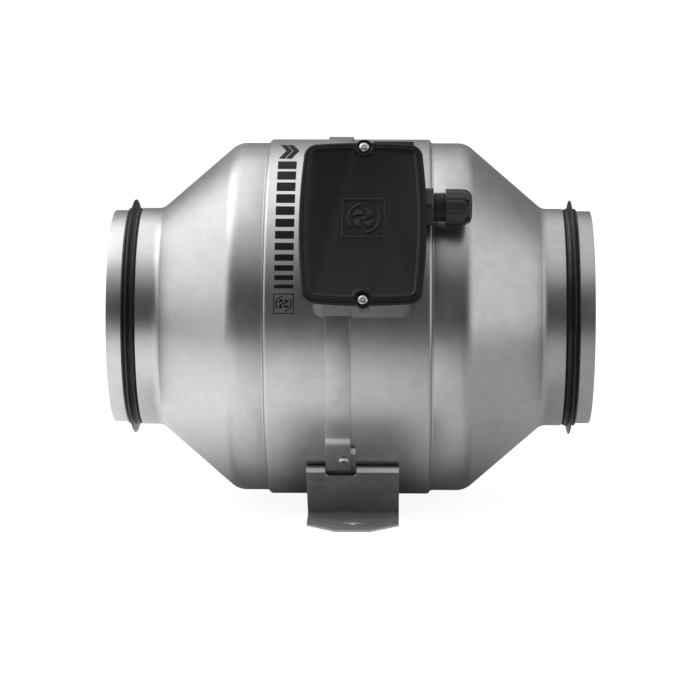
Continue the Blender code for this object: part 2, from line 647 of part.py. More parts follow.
def tube(name, route, radius, mat, parent, spacing=7.0):
    """A round lead along a smooth curve through the route's points."""
    points = [Vector(point) for point in route]
    ends = [points[0] * 2 - points[1]] + points + [points[-1] * 2 - points[-2]]
    path = []
    for i in range(1, len(ends) - 2):
        before, start, end, after = ends[i - 1:i + 3]
        steps = max(1, round((end - start).length / spacing))
        for k in range(steps):
            t = k / steps
            path.append(0.5 * (2 * start + (end - before) * t
                               + (2 * before - 5 * start + 4 * end - after) * t ** 2
                               + (3 * start - before - 3 * end + after) * t ** 3))
    path.append(points[-1])
    curve = bpy.data.curves.new(name, "CURVE")
    curve.dimensions = "3D"
    curve.bevel_depth = radius * MM
    curve.bevel_resolution = 2
    curve.use_fill_caps = True
    spline = curve.splines.new("POLY")
    spline.points.add(len(path) - 1)
    for spot, point in zip(spline.points, path):
        spot.co = (*(point * MM), 1.0)
    curve.materials.append(mat)
    obj = bpy.data.objects.new(name, curve)
    obj.parent = parent
    bpy.context.collection.objects.link(obj)
    return obj


def gasket_and_lid():
    screw_spots = [(LID_SCREW_X, LID_A + side * LID_SCREW_A) for side in (-1, 1)]
    left, right = GASKET_X
    low, high = GASKET_A
    outline = [(left, low), (right, low), (right, GASKET_TAB_A), (GASKET_TAB_X, GASKET_TAB_A),
               (GASKET_TAB_X, high), (left, high)]
    gasket = prism("box_gasket", outline, GASKET_N, LID_RIM_N - GAP, RUBBER, box_frame)
    opening = prism("gasket_opening", rectangle(-22.0, -46.5, 40.9, 48.0, 5.0, 2), 140.0, 150.0,
                    RUBBER, box_frame)
    holes = [rod(f"gasket_screw_cut_{k}", (*spot, 140), (*spot, 150), SCREW_HOLE_R, box_frame, 10)
             for k, spot in enumerate(screw_spots)]
    cut(gasket, opening, *holes)
    lid = loft("terminal_lid", ((lid_outline(0.0), LID_RIM_N), (lid_outline(0.0), LID_FRONT_N - 1.4),
                                (lid_outline(1.4), LID_FRONT_N)), BLACK_PLASTIC, box_frame)
    cut(lid, prism("lid_hollow", lid_outline(LID_WALL), 140.0, LID_FRONT_N - 2.2, BLACK_PLASTIC, box_frame))
    join(lid, *[rod(f"lid_boss_{k}", (*spot, LID_RIM_N + 0.1), (*spot, LID_BOSS_N), LID_BOSS_R, box_frame, 20)
                for k, spot in enumerate(screw_spots)])
    for k, spot in enumerate(screw_spots):
        cut(lid, rod(f"lid_head_cut_{k}", (*spot, LID_SEAT_N), (*spot, 156.0), 3.9, box_frame, 16),
            rod(f"lid_shank_cut_{k}", (*spot, 140.0), (*spot, 156.0), SCREW_HOLE_R, box_frame, 10))
        name = ("lid_screw_bottom", "lid_screw_top")[k]
        screw(name, box_frame, (*spot, LID_SEAT_N + GAP), (0, 0, 1), 3.3, 2.2, 1.5, 14.0)


def hex_block(name, across_flats, low, high):
    """A hexagonal block along the gland's axis, one flat turned towards the fan body."""
    towards_body = 90.0 - math.degrees(math.atan2(GLAND_A, GLAND_N))
    corners = arc((0, 0), across_flats / math.sqrt(3), towards_body - 30, towards_body + 270, 5)
    bm = bmesh.new()
    rings = [[bm.verts.new(Vector((x, y, z)) * MM) for y, z in corners] for x in (low, high)]
    bm.faces.new(rings[0])
    bm.faces.new(rings[1])
    for i in range(6):
        j = (i + 1) % 6
        bm.faces.new((rings[0][i], rings[0][j], rings[1][j], rings[1][i]))
    return add(name, bm, BLACK_PLASTIC, gland_frame)


def gland():
    """Cable gland on the box's right wall; its pieces sit on the gland's own axis."""
    wall = BASE_RIGHT + GAP
    body = turned("gland_body", [
        (30.0, GLAND_BORE_R), (30.0, 9.4), (30.6, 10.0), (wall, 10.0), (wall, 11.8), (54.9, 11.8),
        (54.9, 9.2), (56.0, 9.8), (72.0, 9.8), (72.0, GLAND_BORE_R)], BLACK_PLASTIC, gland_frame, segments=28)
    hexes = hex_block("gland_hex_guide", GLAND_HEX, wall + 0.4, 54.5)
    cut(hexes, rod("gland_hex_bore", (40, 0, 0), (60, 0, 0), 9.0, gland_frame, 20))
    join(body, hexes)
    turned("gland_seal", [(72.4, 5.2), (72.4, 9.6), (76.6, 8.6), (76.6, 5.2)], RUBBER, gland_frame,
           segments=20)
    turned("gland_cap", [
        (62.7, 10.1), (62.7, 12.0), (75.0, 12.0), (78.6, 10.2), (80.0, 7.6), (80.0, 6.2), (77.0, 6.2),
        (77.0, 9.2), (72.2, 10.1)], BLACK_PLASTIC, gland_frame, segments=30)
    nut = hex_block("gland_locknut", GLAND_HEX, 35.4, BASE_RIGHT - BASE_WALL - GAP)
    cut(nut, rod("locknut_bore", (30, 0, 0), (45, 0, 0), 10.0 + GAP, gland_frame, 28))


# Support: folded foot bracket, the clamp strap and its two screws

def below(angle, radius, sign, x=0.0):
    """A point of the axis frame, angle degrees below horizontal, in front (sign -1) or behind."""
    lean = math.radians(angle)
    return (x, sign * radius * math.cos(lean), -radius * math.sin(lean))


def strip(name, near, far, mat):
    """A solid between two matching rings of points, whose two halves face each other."""
    bm = bmesh.new()
    rings = [[bm.verts.new(Vector(point) * MM) for point in ring] for ring in (near, far)]
    count = len(near)
    for i in range(count):
        j = (i + 1) % count
        bm.faces.new((rings[0][i], rings[0][j], rings[1][j], rings[1][i]))
    for ring in rings:
        for i in range(count // 2 - 1):
            bm.faces.new((ring[i], ring[i + 1], ring[count - 2 - i], ring[count - 1 - i]))
    return add(name, bm, mat, axis_frame)


def curved_strip(name, inner, outer, angles, sides, sign, mat):
    """A strip of sheet around the axis between two radii, over a list of angles below horizontal."""
    rings = []
    for x in sides:
        ring = [below(angle, inner, sign, x) for angle in angles]
        rings.append(ring + [below(angle, outer, sign, x) for angle in angles[::-1]])
    return strip(name, *rings, mat)


def foot_bracket():
    """One folded sheet: front flange, web, fold, saddle, fold, rear web and rear flange."""
    half = FOOT_SHEET / 2
    ground = -AXIS_HEIGHT + half
    saddle_r = STRAP_IN_R + half
    right = arc((0, 0), saddle_r, -90, -SADDLE_END_ANGLE, 10)
    end_y, end_z = right[-1]
    fold = rounded([(end_y, end_z, 0), (end_y + 3.2, end_z + 3.3, 1.9),
                    (end_y + 4.6, end_z - 1.5, 0)], 3)
    toe = rounded([fold[-1] + (0,), (FOOT_BEND_Y, ground, 2.2), (FOOT_TOE_Y, ground, 0)], 3)
    side = right + fold[1:] + toe[1:]
    centre_line = [(-y, z) for y, z in side[::-1]][:-1] + side
    outline = offset(centre_line, -half) + offset(centre_line, half)[::-1]
    rings = [[(FOOT_CENTRE_X + x_sign * FOOT_WIDTH / 2, y, z) for y, z in outline] for x_sign in (-1, 1)]
    bracket = strip("foot_bracket", *rings, FOOT_STEEL)
    tongues = []
    tools = []
    for side_name, sign in (("front", -1), ("rear", 1)):
        angles = [TONGUE_ANGLE + (SADDLE_END_ANGLE + 3 - TONGUE_ANGLE) * k / 4 for k in range(5)]
        tongues.append(curved_strip(f"tongue_{side_name}", STRAP_IN_R + 0.05, STRAP_OUT_R - 0.05, angles,
                                    TONGUE_X, sign, FOOT_STEEL))
        for end_name, x_sign in (("left", -1), ("right", 1)):
            edge = FOOT_CENTRE_X + x_sign * (FOOT_WIDTH / 2 + 1)
            inner = FOOT_CENTRE_X + x_sign * FOOT_TOE_FLAT / 2
            corner = [(edge, sign * FOOT_CORNER_Y), (inner, sign * (FOOT_TOE_Y + 0.02)),
                      (inner, sign * (FOOT_TOE_Y + 6)), (edge, sign * (FOOT_TOE_Y + 6))]
            tools.append(prism(f"toe_cut_{side_name}_{end_name}", corner, ground - 4, ground + 4,
                               FOOT_STEEL, axis_frame))
        slot_x, slot_y = FOOT_SLOT_HALF
        middle = sign * FOOT_SLOT_Y
        slot = rectangle(FOOT_CENTRE_X - slot_x, middle - slot_y, FOOT_CENTRE_X + slot_x, middle + slot_y,
                         slot_y - 0.1, 2)
        tools.append(prism(f"toe_slot_{side_name}", slot, ground - 4, ground + 4, FOOT_STEEL, axis_frame))
        tools.append(rod(f"toe_hole_{side_name}", (FOOT_CENTRE_X, middle, ground - 4),
                         (FOOT_CENTRE_X, middle, ground + 4), FOOT_HOLE_R, axis_frame, 16))
        high, low = NOTCH_ANGLES
        tools.append(curved_strip(f"web_notch_{side_name}", LAP_IN_R * 0.999, NOTCH_OUT_R,
                                  [high + (low - high) * k / 3 for k in range(4)], NOTCH_X, sign, FOOT_STEEL))
        tools.append(rod(f"saddle_screw_cut_{side_name}",
                         below(STRAP_SCREW_ANGLE, STRAP_IN_R - 5, sign, STRAP_SCREW_X),
                         below(STRAP_SCREW_ANGLE, STRAP_OUT_R + 5, sign, STRAP_SCREW_X),
                         STRAP_HOLE_R, axis_frame, 10))
    join(bracket, *tongues)
    cut(bracket, *tools)


def clamp_strap():
    """The strap over the body; its ends step out and lap over the foot's tongues."""
    steps = 34
    over = 90.0 + LAP_ANGLE - LAP_STEP
    lap = [(90 + LAP_END_ANGLE + (LAP_ANGLE - LAP_END_ANGLE) * k / 4, LAP_IN_R) for k in range(5)]
    line = list(lap)
    for k in range(steps + 1):
        line.append((over - 2 * over * k / steps, STRAP_IN_R))
    line += [(-angle, radius) for angle, radius in lap[::-1]]
    inner = []
    for angle, radius in line:
        turn = math.radians(angle)
        inner.append((-radius * math.sin(turn), radius * math.cos(turn)))
    outline = inner + offset(inner, -STRAP_SHEET)[::-1]
    rings = [[(x, y, z) for y, z in outline] for x in (STRAP_LEFT, STRAP_RIGHT)]
    strap = strip("clamp_strap", *rings, GALVANISED)
    for name, sign in (("strap_screw_front", -1), ("strap_screw_rear", 1)):
        cut(strap, rod(f"{name}_cut", below(STRAP_SCREW_ANGLE, STRAP_IN_R - 3, sign, STRAP_SCREW_X),
                       below(STRAP_SCREW_ANGLE, LAP_IN_R + 4, sign, STRAP_SCREW_X), STRAP_HOLE_R,
                       axis_frame, 10))
        seat = LAP_IN_R + STRAP_SHEET + GAP
        screw(name, axis_frame, below(STRAP_SCREW_ANGLE, seat, sign, STRAP_SCREW_X),
              below(STRAP_SCREW_ANGLE, 1.0, sign), 3.5, 2.3, 1.5, 2.8)


casing()
bellmouth()
impeller()
motor()
diffuser()
terminal_base()
terminal_details()
gasket_and_lid()
gland()
foot_bracket()
clamp_strap()
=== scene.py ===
"""Visual model of the inline duct fan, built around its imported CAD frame.

All sections and outlines are in millimetres, in one of three frames: the fan
axis (X along the duct), the terminal box (Y up the lid, Z out of it) and the
cable gland (as the box, on the gland's own axis).
"""
import json
import math

import bmesh
import bpy
import numpy as np
from mathutils import Matrix, Vector


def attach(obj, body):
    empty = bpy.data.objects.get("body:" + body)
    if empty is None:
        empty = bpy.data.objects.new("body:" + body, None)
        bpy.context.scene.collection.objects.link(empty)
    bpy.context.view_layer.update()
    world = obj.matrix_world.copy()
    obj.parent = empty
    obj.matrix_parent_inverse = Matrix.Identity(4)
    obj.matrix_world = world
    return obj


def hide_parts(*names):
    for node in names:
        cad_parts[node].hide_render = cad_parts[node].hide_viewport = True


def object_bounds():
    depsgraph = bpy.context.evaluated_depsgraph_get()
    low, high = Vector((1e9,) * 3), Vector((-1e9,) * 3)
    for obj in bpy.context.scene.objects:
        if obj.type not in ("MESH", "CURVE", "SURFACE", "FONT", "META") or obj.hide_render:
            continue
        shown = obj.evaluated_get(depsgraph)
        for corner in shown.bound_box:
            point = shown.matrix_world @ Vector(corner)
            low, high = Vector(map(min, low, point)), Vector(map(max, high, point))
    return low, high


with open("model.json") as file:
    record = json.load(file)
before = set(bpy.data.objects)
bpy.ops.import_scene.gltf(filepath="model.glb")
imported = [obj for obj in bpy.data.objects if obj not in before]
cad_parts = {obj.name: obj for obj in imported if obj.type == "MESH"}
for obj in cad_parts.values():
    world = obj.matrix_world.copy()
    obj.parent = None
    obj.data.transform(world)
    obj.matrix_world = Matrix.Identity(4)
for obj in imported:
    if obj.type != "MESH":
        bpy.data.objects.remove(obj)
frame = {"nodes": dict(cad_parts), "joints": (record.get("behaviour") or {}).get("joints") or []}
cad_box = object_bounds()
MM = 0.001
SEGMENTS = 192
GAP = 0.3                     # clearance between neighbouring parts

# Frames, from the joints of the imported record

joints = {joint["name"]: joint for joint in frame["joints"]}
axis_at = Vector(joints["casing_turn"]["pos_m"])
box_normal = Vector(joints["lid_lift"]["axis"]).normalized()
gland_at = Vector(joints["gland_cap_turn"]["pos_m"])
box_up = box_normal.cross(Vector((1, 0, 0)))
box_turn = Matrix(((1, 0, 0), box_up, box_normal)).transposed().to_4x4()
AXIS = Matrix.Translation(axis_at)
BOX = AXIS @ box_turn
GLAND = Matrix.Translation((0, gland_at.y, gland_at.z)) @ box_turn


def span(name, place):
    """A CAD node's lowest and highest corner in one of the frames, in millimetres."""
    back = place.inverted()
    points = np.array([back @ v.co for v in frame["nodes"][name].data.vertices]) / MM
    return Vector(points.min(0)), Vector(points.max(0))


def radius_of(name, place):
    """A CAD node's largest distance from the frame's X axis, in millimetres."""
    back = place.inverted()
    return max((back @ v.co).yz.length for v in frame["nodes"][name].data.vertices) / MM


# Outlines

def arc(centre, radius, start, end, steps):
    """Points on an arc, from start to end in degrees."""
    points = []
    for i in range(steps + 1):
        angle = math.radians(start + (end - start) * i / steps)
        points.append((centre[0] + radius * math.cos(angle), centre[1] + radius * math.sin(angle)))
    return points


def rounded(corners, steps=8):
    """A line through (x, y, radius) corners, each turned by an arc of its radius."""
    line = []
    for i, (x, y, radius) in enumerate(corners):
        here = Vector((x, y))
        if radius == 0 or i in (0, len(corners) - 1):
            line.append((x, y))
            continue
        back = (Vector(corners[i - 1][:2]) - here).normalized()
        ahead = (Vector(corners[i + 1][:2]) - here).normalized()
        half = back.angle(ahead) / 2
        centre = here + (back + ahead).normalized() * (radius / math.sin(half))
        first = here + back * (radius / math.tan(half)) - centre
        last = here + ahead * (radius / math.tan(half)) - centre
        turn = first.angle_signed(last)
        for k in range(steps + 1):
            point = centre + Matrix.Rotation(-turn * k / steps, 2) @ first
            line.append((point.x, point.y))
    return line


def ring(corners, steps=8):
    """A closed outline through (x, y, radius) corners."""
    loop = [corners[-1]] + list(corners) + [corners[0]]
    return rounded(loop, steps)[1:-1]


def offset(line, distance):
    """The line moved sideways by distance, to the right of its direction."""
    moved = []
    for i, point in enumerate(line):
        here = Vector(point)
        normals = []
        for a, b in ((i - 1, i), (i, i + 1)):
            if 0 <= a and b < len(line):
                step = (Vector(line[b]) - Vector(line[a])).normalized()
                normals.append(Vector((step.y, -step.x)))
        mitre = normals[0] + normals[-1]
        mitre = mitre / mitre.dot(normals[0])
        moved.append(tuple(here + mitre * distance))
    return moved


def sheet(line, thickness, edge=0.3):
    """The closed section of a sheet: one face is line, the other to its right, with soft edges."""
    line = [Vector(point) for point in line]
    ends = []
    for tip, inner in ((0, 1), (-1, -2)):
        along = (line[inner] - line[tip]).normalized()
        ends.append((along, line[tip].copy()))
        line[tip] = line[tip] + along * edge
    near = [tuple(point) for point in line]
    far = offset(near, thickness)
    caps = []
    for (along, _), a, b in zip(ends[::-1], (near[-1], far[0]), (far[-1], near[0])):
        a, b = Vector(a), Vector(b)
        caps.append([tuple(a.lerp(b, 0.5 - 0.5 * math.cos(math.pi * k / 6))
                           - along * edge * math.sin(math.pi * k / 6)) for k in range(1, 6)])
    return near + caps[0] + far[::-1] + caps[1]


def rectangle(left, bottom, right, top, radius=0.0, steps=8):
    """A rectangle, with round corners where radius is given."""
    if radius == 0:
        return [(left, bottom), (right, bottom), (right, top), (left, top)]
    points = []
    for x, y, start in ((right - radius, top - radius, 0), (left + radius, top - radius, 90),
                        (left + radius, bottom + radius, 180), (right - radius, bottom + radius, 270)):
        points += arc((x, y), radius, start, start + 90, steps)
    return points


# Solids

def solid(name, bm, place, sharp=30.0):
    """Turn a bmesh in millimetres into an object in the row frame."""
    bmesh.ops.remove_doubles(bm, verts=bm.verts, dist=1e-4)
    bmesh.ops.transform(bm, matrix=place @ Matrix.Scale(MM, 4), verts=bm.verts)
    bmesh.ops.recalc_face_normals(bm, faces=bm.faces)
    mesh = bpy.data.meshes.new(name)
    bm.to_mesh(mesh)
    bm.free()
    mesh.shade_smooth()
    mesh.set_sharp_from_angle(angle=math.radians(sharp))
    obj = bpy.data.objects.new(name, mesh)
    bpy.context.collection.objects.link(obj)
    return obj


def settle(obj):
    """Apply the modifiers."""
    graph = bpy.context.evaluated_depsgraph_get()
    mesh = bpy.data.meshes.new_from_object(obj.evaluated_get(graph))
    obj.modifiers.clear()
    obj.data = mesh
    mesh.shade_smooth()
    mesh.set_sharp_from_angle(angle=math.radians(30.0))
    return obj


def combine(target, tools, operation="DIFFERENCE"):
    """Cut or join tools, which are then removed."""
    for tool in tools:
        boolean = target.modifiers.new("boolean", "BOOLEAN")
        boolean.operation = operation
        boolean.solver = "EXACT"
        boolean.object = tool
    settle(target)
    for tool in tools:
        bpy.data.objects.remove(tool, do_unlink=True)
    return target


def soften(obj, width, segments=2, angle=40.0):
    """Round the sharp edges by width in millimetres."""
    bevel = obj.modifiers.new("bevel", "BEVEL")
    bevel.width = width * MM
    bevel.segments = segments
    bevel.limit_method = "ANGLE"
    bevel.angle_limit = math.radians(angle)
    return settle(obj)


def bridge(bm, loops):
    """Faces between each closed loop of vertices and the next."""
    for first, second in zip(loops, loops[1:]):
        for i in range(len(first)):
            j = (i + 1) % len(first)
            bm.faces.new((first[i], first[j], second[j], second[i]))


def close_strip(bm, loop):
    """Close a loop whose two halves face each other."""
    count = len(loop)
    for i in range(count // 2 - 1):
        bm.faces.new((loop[i], loop[i + 1], loop[count - 2 - i], loop[count - 1 - i]))


def strip_solid(name, rings, place):
    """A solid through matching rings of points, each of two halves that face each other."""
    bm = bmesh.new()
    add_strip(bm, rings)
    return solid(name, bm, place)


def add_strip(bm, rings):
    """The same, added to a mesh that holds several."""
    loops = [[bm.verts.new(point) for point in points] for points in rings]
    bridge(bm, loops)
    close_strip(bm, loops[0])
    close_strip(bm, loops[-1])


def turned(name, section, place, segments=SEGMENTS, ripple=None, start=0.0, sharp=30.0):
    """Spin a closed section of (x, radius) points about X; ripple(x, radius, angle) may reshape it."""
    bm = bmesh.new()
    rings = []
    for x, radius in section:
        loop = []
        for k in range(segments):
            if radius < 1e-6 and k:
                loop.append(loop[0])
                continue
            angle = start + 2 * math.pi * k / segments
            reach = ripple(x, radius, angle) if ripple else radius
            loop.append(bm.verts.new((x, -reach * math.sin(angle), reach * math.cos(angle))))
        rings.append(loop)
    for i, loop in enumerate(rings):
        after = rings[(i + 1) % len(rings)]
        if loop[0] is loop[1] and after[0] is after[1]:
            continue
        for k in range(segments):
            m = (k + 1) % segments
            corners = []
            for vert in (loop[k], loop[m], after[m], after[k]):
                if vert not in corners:
                    corners.append(vert)
            bm.faces.new(corners)
    return solid(name, bm, place, sharp)


def loft(name, layers, place, axis="z"):
    """Stack matching outlines, given as (outline, height), into a solid along the frame's Z or X."""
    bm = bmesh.new()
    loops = []
    for outline, height in layers:
        spots = [(height, a, b) if axis == "x" else (a, b, height) for a, b in outline]
        loops.append([bm.verts.new(spot) for spot in spots])
    bm.faces.new(loops[0])
    bm.faces.new(loops[-1])
    bridge(bm, loops)
    return solid(name, bm, place)


def prism(name, outline, low, high, place):
    """One outline carried straight up from low to high."""
    return loft(name, ((outline, low), (outline, high)), place)


def rod(name, start, end, radius, place, segments=48):
    """A plain cylinder between two points, for cutters and bosses."""
    first, last = Vector(start), Vector(end)
    turn = (last - first).to_track_quat("Z", "Y").to_matrix().to_4x4()
    bm = bmesh.new()
    bmesh.ops.create_cone(bm, cap_ends=True, segments=segments, radius1=radius, radius2=radius,
                          depth=(last - first).length)
    bmesh.ops.transform(bm, matrix=Matrix.Translation((first + last) / 2) @ turn, verts=bm.verts)
    return solid(name, bm, place)


def dress(obj, mats, body, slot, *nodes):
    """Give a finished piece its material and body, and hide the CAD nodes it stands for; slot is not used."""
    obj.data.materials.clear()
    for mat in mats if isinstance(mats, tuple) else (mats,):
        obj.data.materials.append(mat)
    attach(obj, body)
    if nodes:
        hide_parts(*nodes)


# Materials

def node(tree, kind, inputs, **settings):
    """A new shader node with its settings; each input is a value, or an output to link to."""
    made = tree.nodes.new(f"ShaderNode{kind}")
    for name, value in settings.items():
        setattr(made, name, value)
    for socket, value in inputs.items():
        if isinstance(value, bpy.types.NodeSocket):
            tree.links.new(value, made.inputs[socket])
        else:
            made.inputs[socket].default_value = value
    return made


def compute(tree, operation, *values):
    return node(tree, "Math", dict(enumerate(values)), operation=operation).outputs[0]


def fade(tree, value, start, end, first, last, kind="SMOOTHSTEP"):
    """A change from first to last as value runs from start to end."""
    return node(tree, "MapRange", {"From Min": start, "From Max": end, "To Min": first, "To Max": last,
                                   "Value": value}, interpolation_type=kind).outputs["Result"]


def noise(tree, place, scale, detail=3.0, stretch=None):
    """Noise around the fan axis, drawn out where stretch is below one."""
    if stretch:
        place = node(tree, "VectorMath", {0: place, 1: stretch}, operation="MULTIPLY").outputs[0]
    return node(tree, "TexNoise", {"Scale": scale, "Detail": detail, "Vector": place}).outputs["Fac"]


def surface(name, colour, roughness, metallic=0.0, specular=0.5, mottle=28.0, shade=0.08, wear=0.06,
            grain=700.0, depth=0.006, stretch=None, spangle=0.0, wave=0.0):
    """A Principled material whose colour and roughness drift, with a fine grained or brushed surface.

    mottle and grain are noise scales per metre; depth is the grain's depth and wave
    that of slow dents, both in millimetres; spangle is the contrast of zinc crystals.
    """
    mat = bpy.data.materials.new(name)
    mat.use_nodes = True
    tree = mat.node_tree
    coords = node(tree, "TexCoord", {}).outputs["Object"]
    place = node(tree, "VectorMath", {0: coords, 1: axis_at}, operation="SUBTRACT").outputs[0]
    drift = noise(tree, place, mottle)
    if spangle:
        cells = node(tree, "TexVoronoi", {"Scale": SPANGLE_SCALE, "Vector": place})
        cell_shade = node(tree, "SeparateColor", {0: cells.outputs["Color"]}).outputs[0]
        drift = node(tree, "Mix", {"Factor": spangle, "A": drift, "B": cell_shade}).outputs["Result"]
    tint = node(tree, "ValToRGB", {"Fac": drift})
    for element, position, share in zip(tint.color_ramp.elements, NOISE_RANGE, (1 - shade, 1 + shade)):
        element.position = position
        element.color = (*[min(1.0, c * share) for c in colour], 1)
    gloss = fade(tree, noise(tree, place, mottle * 2.3), *NOISE_RANGE, roughness - wear, roughness + wear,
                 "LINEAR")
    shader = tree.nodes["Principled BSDF"]
    shader.inputs["Metallic"].default_value = metallic
    shader.inputs["Specular IOR Level"].default_value = specular
    tree.links.new(tint.outputs["Color"], shader.inputs["Base Color"])
    tree.links.new(gloss, shader.inputs["Roughness"])
    normal = None
    for height, size, drawn in ((depth, grain, stretch), (wave, WAVE_SCALE, None)):
        if not height:
            continue
        bump = node(tree, "Bump", {"Distance": height * MM, "Height": noise(tree, place, size, 2.0, drawn)})
        if normal:
            tree.links.new(normal, bump.inputs["Normal"])
        normal = bump.outputs["Normal"]
    tree.links.new(normal, shader.inputs["Normal"])
    return mat


NOISE_RANGE = (0.3, 0.7)      # where nearly all of a noise's values lie
SPANGLE_SCALE = 190.0
WAVE_SCALE = 14.0
ROUND_BRUSH = (1.0, 0.03, 0.03)       # brushed around the fan axis
LENGTH_BRUSH = (0.05, 1.0, 1.0)       # brushed along it
SHEET_STEEL = {"metallic": 1.0, "grain": 420.0, "stretch": ROUND_BRUSH}
FOLDED_STEEL = {"metallic": 0.3, "specular": 0.25, "shade": 0.07, "wear": 0.05, "grain": 600.0,
                "depth": 0.012, "stretch": LENGTH_BRUSH, "spangle": 0.5, "wave": 0.04}
BLACK_PLASTIC = {"metallic": 0.0, "shade": 0.12, "wear": 0.05, "grain": 1500.0, "depth": 0.010}
GALVANISED = surface("galvanised", (0.575, 0.575, 0.565), 0.36, shade=0.035, wear=0.035, spangle=0.35,
                     wave=0.10, **SHEET_STEEL)
BAND_STEEL = surface("band_steel", (0.565, 0.565, 0.555), 0.37, shade=0.035, wear=0.035, spangle=0.35,
                     wave=0.07, **SHEET_STEEL)
STRAP_STEEL = surface("strap_steel", (0.53, 0.53, 0.52), 0.34, shade=0.05, wear=0.05, spangle=0.4,
                      wave=0.08, **SHEET_STEEL)
INNER_STEEL = surface("inner_steel", (0.54, 0.54, 0.53), 0.38, shade=0.06, wear=0.05, depth=0.008,
                      spangle=0.4, **SHEET_STEEL)
# A darker copy of the galvanised sheet for the box base: painted shade under the lid's overhang.
BASE_STEEL_PAINTED_SHADE = surface("base_steel_painted_shade", (0.27, 0.27, 0.265), 0.38, shade=0.06, wear=0.05, depth=0.008,
                     spangle=0.4, **SHEET_STEEL)
# Two copies of the foot's one galvanised sheet: a dark one, painted shade on the web and saddle under the
# body, and a lighter one for the toes' upper sides, painted light from above.
FOOT_STEEL_PAINTED_SHADE = surface("foot_steel", (0.20, 0.20, 0.195), 0.60, **FOLDED_STEEL)
TOE_STEEL_PAINTED_LIGHT = surface("foot_toe_steel_painted_light", (0.36, 0.36, 0.35), 0.60, **FOLDED_STEEL)
CUT_EDGE = surface("cut_edge", (0.62, 0.62, 0.60), 0.60, 0.2, shade=0.12, wear=0.08, grain=900.0,
                   depth=0.02)
BRIGHT_STEEL = surface("bright_steel", (0.62, 0.62, 0.60), 0.30, 1.0, mottle=160.0, shade=0.08, wear=0.05,
                       grain=1500.0, depth=0.004)
LID_PLASTIC = surface("lid_plastic", (0.0070, 0.0070, 0.0064), 0.34, specular=0.27, mottle=22.0,
                      **BLACK_PLASTIC)
RECESS_PLASTIC = surface("lid_emblem_plastic", (0.014, 0.014, 0.013), 0.50, specular=0.38, mottle=60.0,
                         **BLACK_PLASTIC)
GLAND_PLASTIC = surface("gland_plastic", (0.026, 0.026, 0.025), 0.36, specular=0.45, mottle=90.0,
                        shade=0.12, grain=1300.0, depth=0.008)
FAN_PLASTIC = surface("fan_plastic", (0.022, 0.022, 0.021), 0.40, mottle=40.0, shade=0.15, wear=0.06,
                      grain=1100.0, depth=0.010)
GREY_PLASTIC = surface("grey_plastic", (0.46, 0.46, 0.44), 0.48, mottle=90.0, shade=0.05, wear=0.06,
                       grain=1400.0, depth=0.008)
RUBBER = surface("rubber", (0.012, 0.012, 0.0115), 0.38, specular=0.5, mottle=60.0, shade=0.2, wear=0.08,
                 grain=900.0, depth=0.012)
SOFT_RUBBER = surface("soft_rubber", (0.014, 0.014, 0.013), 0.62, specular=0.3, mottle=60.0, shade=0.2,
                      wear=0.08, grain=1300.0, depth=0.03)
CAST_ALUMINIUM = surface("cast_aluminium", (0.62, 0.62, 0.63), 0.5, 1.0, mottle=60.0, shade=0.08,
                         wear=0.08, grain=1000.0, depth=0.03)
CORE_STEEL = surface("core_steel", (0.30, 0.30, 0.31), 0.45, 1.0, shade=0.10, wear=0.08, grain=1500.0,
                     depth=0.03, stretch=ROUND_BRUSH)
COPPER = surface("copper", (0.60, 0.26, 0.11), 0.34, 1.0, mottle=60.0, shade=0.12, wear=0.06, grain=900.0,
                 depth=0.15, stretch=ROUND_BRUSH)
INK = surface("black_ink", (0.008, 0.008, 0.0075), 0.60, specular=0.2, mottle=120.0, shade=0.2, wear=0.06,
              grain=1300.0, depth=0.004)


# Casing: spun shells, the rolled band and the duct seals

shell_low, shell_high = span("inlet_shell", AXIS)
band_low, band_high = span("center_band", AXIS)
seal_low, seal_high = span("inlet_seal", AXIS)
barrel_r = radius_of("inlet_shell", AXIS)
band_r = radius_of("center_band", AXIS)
SHEET = 1.0
SPIGOT_R = 73.5
COLLAR_R = 75.1
LEAD_X = 12.0                 # the motor lead's hole, and its lean from the box normal
LEAD_TURN = math.radians(16.0)
LEAD_HOLE_R = 4.3
CORE_HOLE_R = 3.4


def lead_point(radius, x=LEAD_X):
    """A point of the box frame on the motor lead's line out from the axis."""
    return (x, radius * math.sin(LEAD_TURN), radius * math.cos(LEAD_TURN))


def mirrored(section):
    """An inlet section turned round for the outlet."""
    return [(-x, r) for x, r in section[::-1]]


